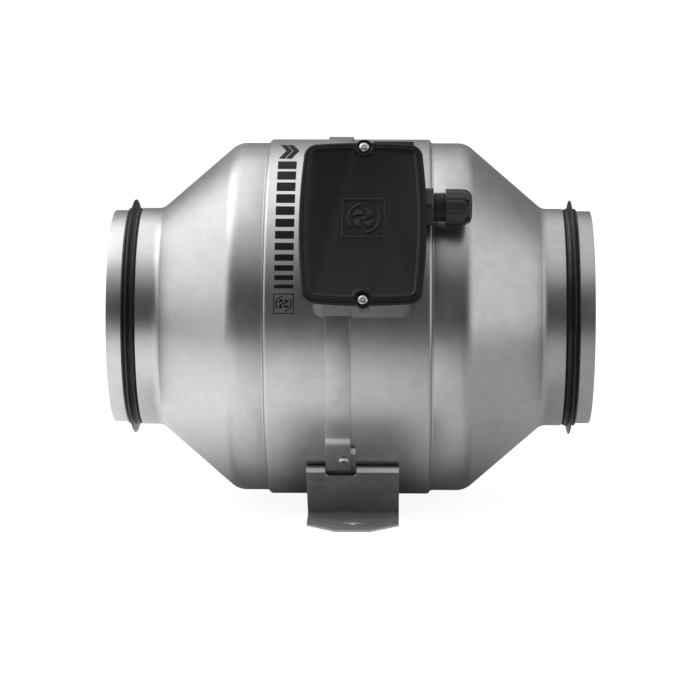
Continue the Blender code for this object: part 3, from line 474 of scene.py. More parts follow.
def casing():
    """The two shells alike, the band with its rounded edges, and the seals."""
    outer = rounded([
        (shell_low.x, SPIGOT_R, 0), (-145.6, SPIGOT_R, 0.8), (-144.4, COLLAR_R, 0.8),
        (-130.6, COLLAR_R, 9), (-78.0, barrel_r, 15), (shell_high.x, barrel_r, 0)], 14)
    shell = sheet(outer, SHEET)
    left, right = seal_low.x, seal_high.x
    base_r = SPIGOT_R + GAP
    seal = rounded([
        (left, base_r, 0), (left, 74.9, 0.5), (-152.9, 75.3, 0.6), (-151.7, 74.6, 0.4), (-151.3, 75.0, 0.3),
        (-150.4, 80.9, 0.3), (-149.7, 80.9, 0.3), (-148.9, 74.9, 0.4), (-147.9, 75.6, 0.6),
        (-146.8, 74.9, 0.4), (right, 74.9, 0.4), (right, base_r, 0)], 5)
    for side, line in (("inlet", shell), ("outlet", mirrored(shell))):
        dress(turned(f"{side}_shell_skin", line, AXIS), GALVANISED, "casing", "galvanised_sheet",
              f"{side}_shell")
    lip, edge_r = barrel_r + GAP, 2.6
    outer = rounded([(band_low.x, lip, 0), (band_low.x, band_r, edge_r),
                     (band_high.x, band_r, edge_r), (band_high.x, lip, 0)], 8)
    band = turned("center_band_skin", sheet(outer, SHEET, 0.1), AXIS)
    combine(band, [rod("lead_hole", lead_point(110), lead_point(130), LEAD_HOLE_R, BOX)])
    dress(band, BAND_STEEL, "casing", "galvanised_sheet", "center_band")
    for side, line in (("inlet", seal), ("outlet", mirrored(seal))):
        dress(turned(f"{side}_seal_ring", line, AXIS), RUBBER, "casing", "rubber", f"{side}_seal")


# Parts seen through the duct ends

def hub_r(x):
    """The impeller hub's radius along its cone."""
    return 74.0 + (x + 46.0) * 0.9375


def shroud_r(x):
    """The inner radius of the bellmouth's cone, which shrouds the impeller."""
    return 64.0 + max(0.0, x + 94.0) * 33.5 / 48.0 - 1.3


def bellmouth():
    """The inlet nozzle, which runs on as the impeller's shroud and the bulkhead."""
    line = rounded([(-141.0, 73.8, 0), (-131.5, 73.8, 8), (-106.0, 64.0, 14), (-97.0, 64.0, 16),
                    (-48.0, 97.5, 0), (-48.0, 117.8, 0), (-60.0, 117.8, 0)], 12)
    dress(turned("bellmouth_spinning", sheet(line, 1.2), AXIS), FAN_PLASTIC, "casing", "fan_plastic",
          "inlet_bellmouth")


def impeller():
    """The hub, the blades and the nose cap."""
    wall, web = 3.4, -75.0
    front, rear = -92.0, -46.0
    section = rounded([(front, hub_r(front) - 1.7, 0), (front, hub_r(front), 0.8), (rear, hub_r(rear), 0.8),
                       (rear, hub_r(rear) - wall, 0.8), (web + 2.7, hub_r(web + 2.7) - wall, 1.5),
                       (web + 2.7, 9.0, 0.5), (web, 9.0, 0.5), (web, hub_r(web) - wall, 1.0),
                       (front, hub_r(front) - wall, 0.8), (front, hub_r(front) - 1.8, 0)], 5)
    dress(turned("impeller_hub", section, AXIS), FAN_PLASTIC, "rotor", "fan_plastic", "impeller")
    blades = bmesh.new()
    for k in range(7):
        add_blade(blades, 360.0 * k / 7, front + 2.5, rear - 1.5)
    dress(solid("impeller_blades", blades, AXIS, 50), FAN_PLASTIC, "rotor", "fan_plastic")
    section = rounded([(-110.0, 0.0, 0), (-110.0, 13.5, 12), (-92.4, 30.4, 0.8), (-92.4, 26.0, 0),
                       (-87.5, 26.0, 0), (-87.5, 24.2, 0), (-94.6, 24.2, 0), (-107.8, 11.5, 3),
                       (-107.8, 0.0, 0)], 8)
    dress(turned("impeller_nose", section, AXIS), FAN_PLASTIC, "rotor", "fan_plastic", "impeller_cap")


def add_blade(bm, angle, lead_x, trail_x, steps=28, rows=7, wrap=46.0, thickness=2.0):
    """One backward-swept blade with a rounded nose, rooted in the hub and clear of the shroud."""
    root_depth, tip_gap = 1.6, 2.0
    sections = []
    for i in range(steps + 1):
        t = i / steps
        x = lead_x + (trail_x - lead_x) * t
        inner = hub_r(x) - root_depth
        outer = shroud_r(x) - tip_gap
        centre = math.radians(angle + wrap * (1 - (1 - t) ** 1.35))
        half = thickness * (0.12 + 0.88 * math.sin(math.pi * min(1.0, 0.08 + t * 0.84)) ** 0.6) / 2
        loop = []
        for side in (-1, 1):
            order = range(rows + 1) if side < 0 else range(rows, -1, -1)
            for j in order:
                radius = inner + (outer - inner) * j / rows
                turn = centre + side * half / radius
                loop.append((x, -radius * math.sin(turn), radius * math.cos(turn)))
        sections.append(loop)
    add_strip(bm, sections)


VANE_START = -14.4            # degrees around from the top, for the first vane


def diffuser():
    """The core with its web, the tail cone and the guide vanes."""
    wall, core_r = 1.5, 76.5
    line = rounded([(-43.0, 74.0, 0), (-30.0, core_r, 10), (18.0, core_r, 40), (70.0, 48.0, 0)], 14)
    core = turned("diffuser_core_shell", sheet(line, wall, 0.2), AXIS)
    combine(core, [rod("core_lead_hole", lead_point(60), lead_point(90), CORE_HOLE_R, BOX)])
    dress(core, INNER_STEEL, "casing", "inner_sheet", "diffuser_core")
    web = turned("diffuser_web", rounded([(-30.7, 15.0, 0), (-30.7, core_r - 1.9, 0),
                                          (-29.2, core_r - 1.9, 0), (-29.2, 15.0, 0)]), AXIS)
    combine(web, [rod("web_lead_hole", lead_point(26, -34), lead_point(26, -26), CORE_HOLE_R, BOX)])
    dress(web, INNER_STEEL, "casing", "inner_sheet")
    section = rounded([(63.3, 44.6, 0), (70.3, 44.6, 0), (70.3, 48.0, 0.5), (101.0, 31.0, 22),
                       (108.0, 0.0, 0)], 16) + rounded([(106.4, 0.0, 0), (98.6, 29.0, 14), (72.1, 43.0, 0),
                                                       (63.3, 43.0, 0)], 10)
    dress(turned("tail_cone_moulding", section, AXIS), FAN_PLASTIC, "casing", "fan_plastic", "tail_cone")
    vanes = bmesh.new()
    for k in range(6):
        add_vane(vanes, VANE_START + 60.0 * k, core_r)
    dress(solid("guide_vanes", vanes, AXIS), INNER_STEEL, "casing", "inner_sheet",
          *[f"guide_vane_{k + 1}" for k in range(6)])


def add_vane(bm, angle, core_r, steps=30):
    """A curved sheet vane with a tab on the core and a tab against the band."""
    tab, thick, bend = 11.0, 1.4, 2.4
    root, tip = core_r + 0.5, band_r - 1.5
    centre_line = rounded([(tab, root + thick / 2, 0), (thick / 2, root + thick / 2, bend),
                           (thick / 2, tip - thick / 2, bend), (tab, tip - thick / 2, 0)], 5)
    section = offset(centre_line, thick / 2) + offset(centre_line, -thick / 2)[::-1]
    loops = []
    for i in range(steps + 1):
        t = i / steps
        x = -27.0 + 63.0 * t
        base = math.radians(angle + 24.0 * (1 - t) ** 2)
        spins = [(base + across / radius, radius) for across, radius in section]
        loops.append([(x, -radius * math.sin(spin), radius * math.cos(spin)) for spin, radius in spins])
    add_strip(bm, loops)


# Screws

def cross_screw(name, place, spot, direction, head_r, head_h, shank_r, length, recess=1.45):
    """A pan-head screw with a cross recess; spot is the seat of its head."""
    section = rounded([(head_h, 0.0, 0), (head_h * 0.93, head_r * 0.62, 2.0), (head_h * 0.38, head_r, 0.7),
                       (0.0, head_r, 0.3), (0.0, shank_r, 0), (-length + 0.5, shank_r, 0),
                       (-length, shank_r - 0.5, 0), (-length, 0.0, 0)], 6)
    turn = Vector((1, 0, 0)).rotation_difference(Vector(direction).normalized()).to_matrix().to_4x4()
    seat = place @ Matrix.Translation(Vector(spot) * MM) @ turn
    obj = turned(name, section, seat, 48)
    depth = head_h * 0.45
    arms = []
    for a, b in ((recess, 0.42), (0.42, recess)):
        top = rectangle(-a, -b, a, b)
        bottom = rectangle(-a * 0.55, -b * 0.7, a * 0.55, b * 0.7)
        arms.append(loft("recess", ((bottom, depth), (top, head_h + 0.05), (top, head_h + 1)), seat, "x"))
    return combine(obj, arms)


# Terminal box

lid_low, lid_high = span("terminal_lid", BOX)
lid_rim = lid_low.z
lid_front = lid_high.z
LID_X, LID_A = 9.05, 0.75
HALF_W, HALF_H = 38.75, 56.6
BULGE_W, BULGE_H = 2.6, 1.2
LID_CORNER_R = 9.0
LID_WALL = 2.2
SCREW_A = 54.4                # how far the screws are from the lid's middle, up and down
SCREW_HOLE_R = 1.9
SPOTS = [(9.5, LID_A + side * SCREW_A) for side in (-1, 1)]


def lid_outline(inset, steps=24):
    """The lid's outline: four arcs joined by sides that swell outwards."""
    radius = LID_CORNER_R - inset
    half_w, half_h = HALF_W - inset, HALF_H - inset
    quarter = [(half_w + BULGE_W * (1 - (k / steps) ** 2), (half_h - radius) * k / steps)
               for k in range(steps)]
    quarter += arc((half_w - radius, half_h - radius), max(radius, 0.5), 6, 87, steps)
    quarter += [((half_w - radius) * (1 - k / 8), half_h + BULGE_H * (1 - (1 - k / 8) ** 2))
                for k in range(1, 9)]
    upper = quarter + [(-x, y) for x, y in quarter[::-1][1:-1]]
    lower = [(-x, -y) for x, y in quarter[1:]] + [(x, -y) for x, y in quarter[::-1][1:-1]]
    return [(x + LID_X, y + LID_A) for x, y in upper + [(-quarter[0][0], 0.0)] + lower]


def lid_angles():
    """Ray angles from the lid's middle, closer together near the screws."""
    outline = np.array(lid_outline(0.0)) - (LID_X, LID_A)
    angles = list(np.arctan2(outline[:, 1], outline[:, 0]))
    for x, a in SPOTS:
        middle = math.atan2(a - LID_A, x - LID_X)
        angles += [middle + math.radians(13.0) * (k + 0.5) / 32 for k in range(-32, 32)]
    angles = sorted((a + math.pi) % (2 * math.pi) - math.pi for a in angles)
    kept = [angles[0]]
    for angle in angles[1:]:
        if angle - kept[-1] > 0.0012:
            kept.append(angle)
    return np.array(kept)


def lid_ring(angles, inset, pocket):
    """The lid's outline moved in by inset; it passes each screw at radius pocket, if that isn't None."""
    outline = np.array(lid_outline(inset)) - (LID_X, LID_A)
    polar = np.arctan2(outline[:, 1], outline[:, 0])
    order = np.argsort(polar)
    reach = np.interp(angles, polar[order], np.hypot(*outline[order].T), period=2 * math.pi)
    if pocket is not None:
        for x, a in SPOTS:
            spot = Vector((x - LID_X, a - LID_A))
            middle = math.atan2(spot.y, spot.x)
            lean = np.array([math.remainder(angle - middle, 2 * math.pi) for angle in angles])
            miss = np.abs(spot.length * np.sin(lean))
            near = spot.length * np.cos(lean) - np.sqrt(np.maximum(pocket ** 2 - miss ** 2, 0.0))
            near = near + np.maximum(miss - pocket, 0.0) * 5.0
            near = np.where(np.abs(lean) < 1.0, near, 1e3)
            blend = 1.6
            share = np.clip(0.5 + 0.5 * (near - reach) / blend, 0.0, 1.0)
            reach = near * (1 - share) + reach * share - blend * share * (1 - share)
    return [(LID_X + r * math.cos(a), LID_A + r * math.sin(a)) for r, a in zip(reach, angles)]


def lid():
    """The lid: outer flange, groove, raised lip that passes the screws, panel and emblem."""
    angles = lid_angles()
    top = lid_front
    layers = [(lid_ring(angles, 0.25, None), lid_rim), (lid_ring(angles, 0.0, None), lid_rim + 0.25),
              (lid_ring(angles, 0.0, None), top - 2.5)]
    for inset, drop in ((0.12, 2.0), (0.45, 1.6), (0.95, 1.38), (1.6, 1.3), (2.3, 1.3), (2.65, 1.45),
                        (2.9, 1.45), (3.15, 1.1), (3.4, 0.55), (3.75, 0.15), (4.25, 0.0), (4.8, 0.12),
                        (5.3, 0.55), (5.75, 1.0), (6.3, 1.15)):
        layers.append((lid_ring(angles, inset, 1.7 + inset), top - drop))
    cover = loft("lid_moulding", layers, BOX)
    combine(cover, [prism("lid_hollow", lid_outline(LID_WALL, 10), 140.0, top - 2.6, BOX)])
    ears = [round_loft("ear", spot, 64, (
        (5.35, lid_rim + 0.02), (5.6, lid_rim + 0.27), (5.6, top - 1.9), (5.45, top - 1.45),
        (5.15, top - 1.3))) for spot in SPOTS]
    combine(cover, ears, "UNION")
    cuts = []
    for spot in SPOTS:
        cuts.append(round_loft("counterbore", spot, 48, ((4.3, 149.0), (4.5, top - 1.2), (4.9, top + 1.0))))
        cuts.append(rod("shank_hole", (*spot, 140.0), (*spot, 156.0), SCREW_HOLE_R, BOX))
    emblem, half, panel = (9.5, 3.5), 13.2, top - 1.15
    cuts.append(loft("emblem_recess", [
        (rectangle(emblem[0] - s, emblem[1] - s, emblem[0] + s, emblem[1] + s, 0.6, 4), n)
        for s, n in ((half - 0.5, panel - 0.6), (half, panel - 0.1), (half, top + 1))], BOX))
    combine(cover, cuts)
    dress(cover, LID_PLASTIC, "lid", "lid_plastic", "terminal_lid")
    for name, shapes, low, high, edge in (
            ("lid_emblem_frame", square_ring(emblem, half - 0.1, half + 0.9), panel - 0.3, panel + 0.45, 0.2),
            ("lid_emblem_fan", fan_icon(emblem, half * 0.88), panel - 0.9, panel + 0.2, 0.18)):
        plates = bmesh.new()
        for shape in shapes:
            add_plate(plates, shape, low, high)
        dress(soften(solid(name, plates, BOX), edge), RECESS_PLASTIC, "lid", "lid_plastic")
    for spot, part in zip(SPOTS, ("lid_screw_bottom", "lid_screw_top")):
        screw = cross_screw(f"{part}_head", BOX, (*spot, 149.3), (0, 0, 1), 3.45, 2.1, 1.5, 13.7)
        dress(screw, BRIGHT_STEEL, "lid", "bright_steel", part)


def round_loft(name, spot, steps, layers):
    """A turned boss or hole about a spot of the lid, from (radius, height) layers."""
    return loft(name, [(arc(spot, r, 0, 360, steps)[:-1], n) for r, n in layers], BOX)


def add_plate(bm, outline, low, high):
    """A flat closed plate of one outline."""
    near = [bm.verts.new((x, y, low)) for x, y in outline]
    far = [bm.verts.new((x, y, high)) for x, y in outline]
    bm.faces.new(near[::-1])
    bm.faces.new(far)
    bridge(bm, (near, far))


def square_ring(centre, inner, outer):
    """Four mitred strips around a square."""
    strips = []
    for k in range(4):
        turn = Matrix.Rotation(math.pi / 2 * k, 2)
        strip = [(-outer, -outer), (outer, -outer), (inner, -inner), (-inner, -inner)]
        strips.append([tuple(turn @ Vector(point) + Vector(centre)) for point in strip])
    return strips


def fan_icon(centre, size):
    """A plain pictogram: four swept fan blades, a hub and two arcs of air."""
    shapes = [arc(centre, size * 0.13, 0, 360, 24)[:-1]]
    for k in range(4):
        front, back = [], []
        for i in range(9):
            t = i / 8
            radius = size * (0.20 + 0.46 * t)
            sweep = 90 * k + 34 * t ** 1.5
            front.append((radius, sweep))
            back.append((radius, sweep + 16 + 40 * math.sin(math.pi * min(1, t * 0.62 + 0.1))))
        outline = [(centre[0] + r * math.cos(math.radians(a)), centre[1] + r * math.sin(math.radians(a)))
                   for r, a in front + back[::-1]]
        shapes.append(outline)
    for start in (100, 280):
        shapes.append(arc(centre, size * 0.94, start, start + 118, 28)
                      + arc(centre, size * 0.80, start + 118, start, 28))
    return shapes


def terminal_box():
    """The base under the lid, open into the body where the strap and lead pass, and the gasket."""
    low, high = span("terminal_base", BOX)
    wall, reach, lug = 1.5, 50.75, 4.2
    outer = rectangle(low.x, LID_A - reach, high.x, LID_A + reach, 8.0, 12)
    inner = rectangle(low.x + wall, LID_A - reach + wall, high.x - wall, LID_A + reach - wall, 6.5, 12)
    base = loft("base_pressing", ((outer, 90.0), (outer, high.z)), BOX)
    lugs = []
    for x, a in SPOTS:
        inward = a - math.copysign(5, a)
        lugs.append(prism("lug", rectangle(x - lug, min(a - lug, inward), x + lug, max(a + lug, inward),
                                           2.0, 6), 139.0, high.z, BOX))
    combine(base, lugs, "UNION")
    room = prism("room", inner, 90.0, 160.0, BOX)
    combine(room, [drum("floor_top", 126.6, -60, 70)])
    skirt = prism("under_room", inner, 80.0, 160.0, BOX)
    combine(skirt, [drum("floor_under", 125.4, -60, 70)], "INTERSECT")
    strap_low, strap_high = span("clamp_strap", AXIS)
    tools = [room, skirt, drum("band_space", 123.2, -90, 90),
             drum("strap_space", 125.4, strap_low.x - 0.9, strap_high.x + 0.9),
             prism("nut_room", rectangle(26.0, 4.0, high.x - wall, 36.0), 110.0, 140.0, BOX),
             rod("gland_hole", (36, 0, 0), (48, 0, 0), 10.4, GLAND),
             rod("lead_hole", (LEAD_X, 0, 0), lead_point(150), LEAD_HOLE_R, BOX)]
    tools += [rod("lug_hole", (*spot, 130), (*spot, 150), SCREW_HOLE_R, BOX, 24) for spot in SPOTS]
    combine(base, tools)
    # The base gets the darker copy of the galvanised sheet, which paints the shade under the lid.
    dress(soften(base, 0.35, 2, 60), BASE_STEEL_PAINTED_SHADE, "casing", "galvanised_sheet", "terminal_base")
    g_low, g_high = span("box_gasket", BOX)
    tab_a, edge_a = g_high.y - 0.1, g_high.y - 4.6
    outline = ring([(g_low.x, g_low.y, 8), (g_high.x, g_low.y, 5), (g_high.x - 0.6, tab_a, 1.2),
                    (15.2, tab_a, 1.0), (15.0, edge_a, 1.0), (g_low.x, edge_a, 5)], 5)
    gasket = prism("box_gasket_foam", outline, g_low.z, g_high.z, BOX)
    holes = [prism("gasket_opening", rectangle(-22.0, -46.5, 40.9, 48.0, 5.0, 6), 140.0, 150.0, BOX)]
    holes += [rod("gasket_hole", (*spot, 140), (*spot, 150), SCREW_HOLE_R, BOX, 24) for spot in SPOTS]
    combine(gasket, holes)
    dress(soften(gasket, 0.25, 2, 60), SOFT_RUBBER, "casing", "rubber", "box_gasket")


def drum(name, radius, low, high):
    """A round cutter on the fan axis."""
    return turned(name, [(low, 0.0), (low, radius), (high, radius), (high, 0.0)], BOX, SEGMENTS)


# Cable gland

def gland():
    """The body with its hexagon and ringed thread, the seal and the domed cap."""
    body_low, body_high = span("gland_body", GLAND)
    cap_low, _ = span("gland_cap", GLAND)
    flats = 24.0
    back = GLAND.inverted() @ axis_at
    flat_angle = math.atan2(-back.y, back.z)
    wall, hex_end, hex_r = 42.8, 54.9, 12.6

    def hex_ripple(x, radius, angle):
        """Flats with chamfered corners on the body's hexagon; the rest stays round."""
        if radius < 11.5:
            return radius
        chamfer = 13.2 - 0.9 * max(0.0, 1 - (x - wall)) - 0.9 * max(0.0, 1 - (hex_end - x))
        turn = math.remainder(angle - flat_angle, math.pi / 3)
        return min(flats / 2 / math.cos(turn), chamfer)

    section = [(body_low.x, 6.5), (body_low.x, 9.4), (body_low.x + 0.6, 10.0), (wall, 10.0)]
    section += [(wall + 0.25 * k, hex_r) for k in range(5)]
    section += [(hex_end - 0.25 * k, hex_r) for k in (4, 3, 2, 1, 0)]
    section += [(hex_end, 9.0), (55.6, 9.0)]
    pitch, x = 1.7, 55.6
    while x + pitch < 71.0:
        section += [(x + 0.15, 9.05), (x + 0.62, 9.8), (x + 1.0, 9.8), (x + 1.5, 9.05)]
        x += pitch
    section += [(71.4, 9.05), (body_high.x, 8.7), (body_high.x, 6.5)]
    body = turned("gland_body_moulding", section, GLAND, 180, hex_ripple, flat_angle)
    dress(body, GLAND_PLASTIC, "casing", "gland_plastic", "gland_body")
    section = rounded([(72.4, 5.2, 0), (72.4, 9.6, 0.4), (76.6, 8.6, 0.8), (76.6, 5.2, 0.6),
                       (72.41, 5.2, 0)], 5)
    dress(turned("gland_seal_ring", section, GLAND, 96), SOFT_RUBBER, "casing", "rubber", "gland_seal")

    def cap_ripple(x, radius, angle):
        """Fine flutes along the cap, and six pockets round its dome."""
        if radius < 10.3 and x < 75.5 or x > 79.6:
            return radius
        turn = (angle - flat_angle) * 18 / 2
        flute = 0.30 * abs(math.sin(turn)) ** 5 * smooth(x, 63.4, 64.0) * (1 - smooth(x, 73.6, 74.4))
        side = math.remainder(angle - flat_angle - math.radians(18.0), math.pi / 3)
        window = 1 - smooth(abs(side), math.radians(9.0), math.radians(12.0))
        pocket = 1.5 * window * smooth(x, 74.9, 75.5) * (1 - smooth(x, 77.2, 77.9))
        return radius - flute - pocket

    line = rounded([(cap_low.x, 10.1, 0), (cap_low.x, 12.0, 0.5), (73.8, 12.0, 0.4), (74.2, 11.65, 0.4),
                    (75.6, 11.65, 2.4), (79.0, 9.9, 2.2), (80.0, 7.0, 0.8), (80.0, 6.2, 0)], 6)
    dense = [line[0]]
    for a, b in zip(line, line[1:]):
        pieces = max(1, math.ceil((Vector(b) - Vector(a)).length / 0.3)) if a[1] > 7 and b[1] > 7 else 1
        dense += [tuple(Vector(a).lerp(Vector(b), k / pieces)) for k in range(1, pieces + 1)]
    section = dense + [(77.0, 6.2), (77.0, 9.2), (72.2, 10.1)]
    cap = turned("gland_dome_nut", section, GLAND, 360, cap_ripple, flat_angle, 40)
    dress(cap, GLAND_PLASTIC, "gland_nut", "gland_plastic", "gland_cap")


def smooth(value, low, high):
    """A soft step from 0 at low to 1 at high."""
    t = min(1.0, max(0.0, (value - low) / (high - low)))
    return t * t * (3 - 2 * t)


# Support: folded foot and clamp strap

FOOT_X, FOOT_HALF, TOE_FLAT_HALF = 1.9, 31.0, 12.0
FOOT_T = 1.3
FOOT_BEND_Y, TOE_CORNER_Y, SLOT_Y = 57.0, 85.2, 84.0
SADDLE_END = 45.2             # this and the other angles here are degrees below horizontal
STRAP_IN, STRAP_T, LAP_IN = 123.2, 1.3, 124.8
LAP_START, LAP_STEP, LAP_END = 33.0, 3.0, 45.6
STRAP_SCREW_TURN = 39.2
STRAP_SCREW_X = -3.8


def below(angle, radius, sign, x=0.0):
    """A point in the axis frame, angle degrees below horizontal, in front (sign -1) or behind."""
    lean = math.radians(angle)
    return Vector((x, sign * radius * math.cos(lean), -radius * math.sin(lean)))


def strap_hole(name, first, last, sign):
    """A cutter for a strap screw's hole, between two distances from the axis."""
    return rod(name, below(STRAP_SCREW_TURN, first, sign, STRAP_SCREW_X),
               below(STRAP_SCREW_TURN, last, sign, STRAP_SCREW_X), SCREW_HOLE_R, AXIS, 24)


def foot():
    """One folded sheet under the strap: toe, web, fold and saddle, and the same again behind."""
    f_low, f_high = span("foot_bracket", AXIS)
    half = FOOT_T / 2
    ground, toe_y = f_low.z + half, f_high.y
    under, over = ground - 4, ground + 4
    right = arc((0, 0), STRAP_IN + half, -90, -SADDLE_END, 40)
    end_y, end_z = right[-1]
    fold = rounded([(end_y, end_z, 0), (end_y + 3.2, end_z + 3.3, 1.9), (end_y + 4.6, end_z - 1.5, 0)], 10)
    toe = rounded([fold[-1] + (0,), (FOOT_BEND_Y, ground, 2.2), (toe_y, ground, 0)], 10)
    side = right + fold[1:] + toe[1:]
    centre_line = [(-y, z) for y, z in side[::-1]][:-1] + side
    outline = offset(centre_line, -half) + offset(centre_line, half)[::-1]
    rings = [[(FOOT_X + end * FOOT_HALF, y, z) for y, z in outline] for end in (-1, 1)]
    bracket = strip_solid("foot_folded_sheet", rings, AXIS)
    tools = []
    for sign in (-1, 1):
        for x_sign in (-1, 1):
            edge = FOOT_X + x_sign * (FOOT_HALF + 1)
            inner = FOOT_X + x_sign * TOE_FLAT_HALF
            corner = [(edge, sign * TOE_CORNER_Y), (inner, sign * (toe_y + 0.02)),
                      (inner, sign * (toe_y + 6)), (edge, sign * (toe_y + 6))]
            tools.append(prism("toe_corner", corner, under, over, AXIS))
        middle = sign * SLOT_Y
        slot = [(FOOT_X + x, middle + y) for x, y in ring(
            [(-7.8, 0, 0.5), (-3.6, -1.9, 0.5), (3.6, -1.9, 0.5), (7.8, 0, 0.5), (3.6, 1.9, 0.5),
             (-3.6, 1.9, 0.5)], 4)]
        tools.append(prism("toe_slot", slot, under, over, AXIS))
        tools.append(rod("toe_hole", (FOOT_X, middle, under), (FOOT_X, middle, over), 3.3, AXIS))
        tools.append(strap_notch(sign))
        tools.append(strap_hole("saddle_hole", 118, 129, sign))
    combine(bracket, [tongue(sign) for sign in (-1, 1)], "UNION")
    combine(bracket, tools)
    soften(bracket, 0.22, 2, 50)
    # The foot's sheet is painted dark for shade, and its toes' upper sides lighter for light from above.
    dress(bracket, (FOOT_STEEL_PAINTED_SHADE, CUT_EDGE, TOE_STEEL_PAINTED_LIGHT), "support", "foot_sheet", "foot_bracket")
    mark_cut_edges(bracket)


def mark_cut_edges(obj):
    """The sheet's sheared edges get the second material, and the toes' upper sides the third: a lighter copy
    of the foot's sheet, painted light where they face up.
    """
    for face in obj.data.polygons:
        normal = face.normal
        spot = (obj.data.vertices[face.vertices[0]].co - axis_at) / MM
        side = abs(normal.x) > 0.6
        toe = abs(spot.y) > 80.0 and abs(normal.z) < 0.6
        # The toes' upward faces: painted light from above.
        lit_top_faces = normal.z > 0.8 and abs(spot.y) > 50.0 and spot.z < -120.0
        face.material_index = 1 if side or toe else 2 if lit_top_faces else 0


def shell_block(name, stations, radii, sign, steps=10):
    """A block curved round the axis: at each x station it spans two angles, between two radii."""
    rings = []
    for x, high, low in stations:
        angles = [high + (low - high) * i / steps for i in range(steps + 1)]
        rings.append([below(angle, radii[0], sign, x) for angle in angles]
                     + [below(angle, radii[1], sign, x) for angle in angles[::-1]])
    return strip_solid(name, rings, AXIS)


def tongue(sign):
    """The foot's tongue under the strap's end."""
    stations = ((-15.8, 34.8, 48.2), (4.0, 34.8, 48.2))
    return shell_block("foot_tongue", stations, (STRAP_IN + 0.05, STRAP_IN + STRAP_T - 0.05), sign)


def strap_notch(sign):
    """The strap's space in the fold, with round lower corners."""
    left, right, radius, high, low = -16.4, 4.6, 3.2, 38.0, 46.4
    stations = []
    for k in range(9):
        turn = math.pi / 2 * k / 8
        rise = math.degrees(radius * (1 - math.sin(turn)) / LAP_IN)
        stations.append((left + radius * (1 - math.cos(turn)), high, low - rise))
    stations += [(left + right - x, top, end) for x, top, end in stations[::-1]]
    return shell_block("strap_notch", stations, (LAP_IN - 0.12, 136.0), sign)


def strap():
    """The strap over the body; each end steps out over the foot's tongue, in a soft bend."""
    s_low, s_high = span("clamp_strap", AXIS)
    lap = [(90 + LAP_END - (LAP_END - LAP_START) * k / 12, LAP_IN) for k in range(13)]
    lap += [(90 + LAP_START - LAP_STEP * t, LAP_IN + (STRAP_IN - LAP_IN) * smooth(t, 0, 1))
            for t in (k / 6 for k in range(1, 7))]
    over, steps = 90 + LAP_START - LAP_STEP, 150
    line = lap + [(over - 2 * over * k / steps, STRAP_IN) for k in range(1, steps)]
    line += [(-angle, radius) for angle, radius in lap[::-1]]
    inner = [(-radius * math.sin(math.radians(angle)), radius * math.cos(math.radians(angle)))
             for angle, radius in line]
    outline = inner + offset(inner, -STRAP_T)[::-1]
    rings = [[(x, y, z) for y, z in outline] for x in (s_low.x, s_high.x)]
    band = strip_solid("clamp_strap_band", rings, AXIS)
    combine(band, [strap_hole("hole", 120, 129, sign) for sign in (-1, 1)])
    soften(band, 0.3, 3, 50)
    dress(band, STRAP_STEEL, "support", "galvanised_sheet", "clamp_strap")
    for part, sign in (("strap_screw_front", -1), ("strap_screw_rear", 1)):
        spot = below(STRAP_SCREW_TURN, LAP_IN + STRAP_T + GAP, sign, STRAP_SCREW_X)
        out = below(STRAP_SCREW_TURN, 1.0, sign)
        screw = cross_screw(f"{part}_head", AXIS, spot, out, 3.5, 2.2, 1.5, 2.8)
        dress(screw, BRIGHT_STEEL, "support", "bright_steel", part)


# Printed marking: a generic airflow mark on the band, left of the box

def printed(name, shapes, base_angle, step=2.0):
    """Thin ink plates bent onto the band; shapes are (x, arc length) outlines, from base_angle up."""
    bm = bmesh.new()
    for shape in shapes:
        add_plate(bm, shape, -0.05, 0.10)
    reach = [v.co.y for v in bm.verts]
    level = math.floor(min(reach) / step) * step + step
    while level < max(reach):
        bmesh.ops.bisect_plane(bm, geom=bm.verts[:] + bm.edges[:] + bm.faces[:], dist=1e-5,
                               plane_co=(0, level, 0), plane_no=(0, 1, 0))
        level += step
    for vert in bm.verts:
        x, along, height = vert.co
        lean = math.radians(base_angle) + along / band_r
        vert.co = (x, -(band_r + height) * math.cos(lean), (band_r + height) * math.sin(lean))
    dress(solid(name, bm, AXIS, 40), INK, "casing", "galvanised_sheet")


def marking():
    """From below: a fan pictogram in a square, bars that grow with the flow, and two chevrons."""
    left, right, low_angle = -48.8, -36.3, 10.7
    middle, half = (left + right) / 2, 6.65
    shapes = square_ring((middle, half), half - 0.6, half)
    shapes += fan_icon((middle, half), half * 0.84)
    start, end, count, gap = 16.7, 122.3, 12, 3.0
    room = end - start - gap * (count - 1)
    total = sum(4 + k for k in range(count))
    position = start
    for k in range(count):
        thick = room * (4 + k) / total
        shapes.append(ring([(left, position, 0.5), (right, position, 0.5), (right, position + thick, 0.5),
                            (left, position + thick, 0.5)], 3))
        position += thick + gap
    low, tall, stroke, reach = 126.3, 25.5, 4.0, 4.6
    for x0 in (-48.5, -48.5 + stroke + 0.7):
        shapes.append([(x0, low), (x0 + stroke, low), (x0 + stroke + reach, low + tall / 2),
                       (x0 + stroke, low + tall), (x0, low + tall), (x0 + reach, low + tall / 2)])
    printed("airflow_marking", shapes, low_angle)


# CAD nodes that keep their shape

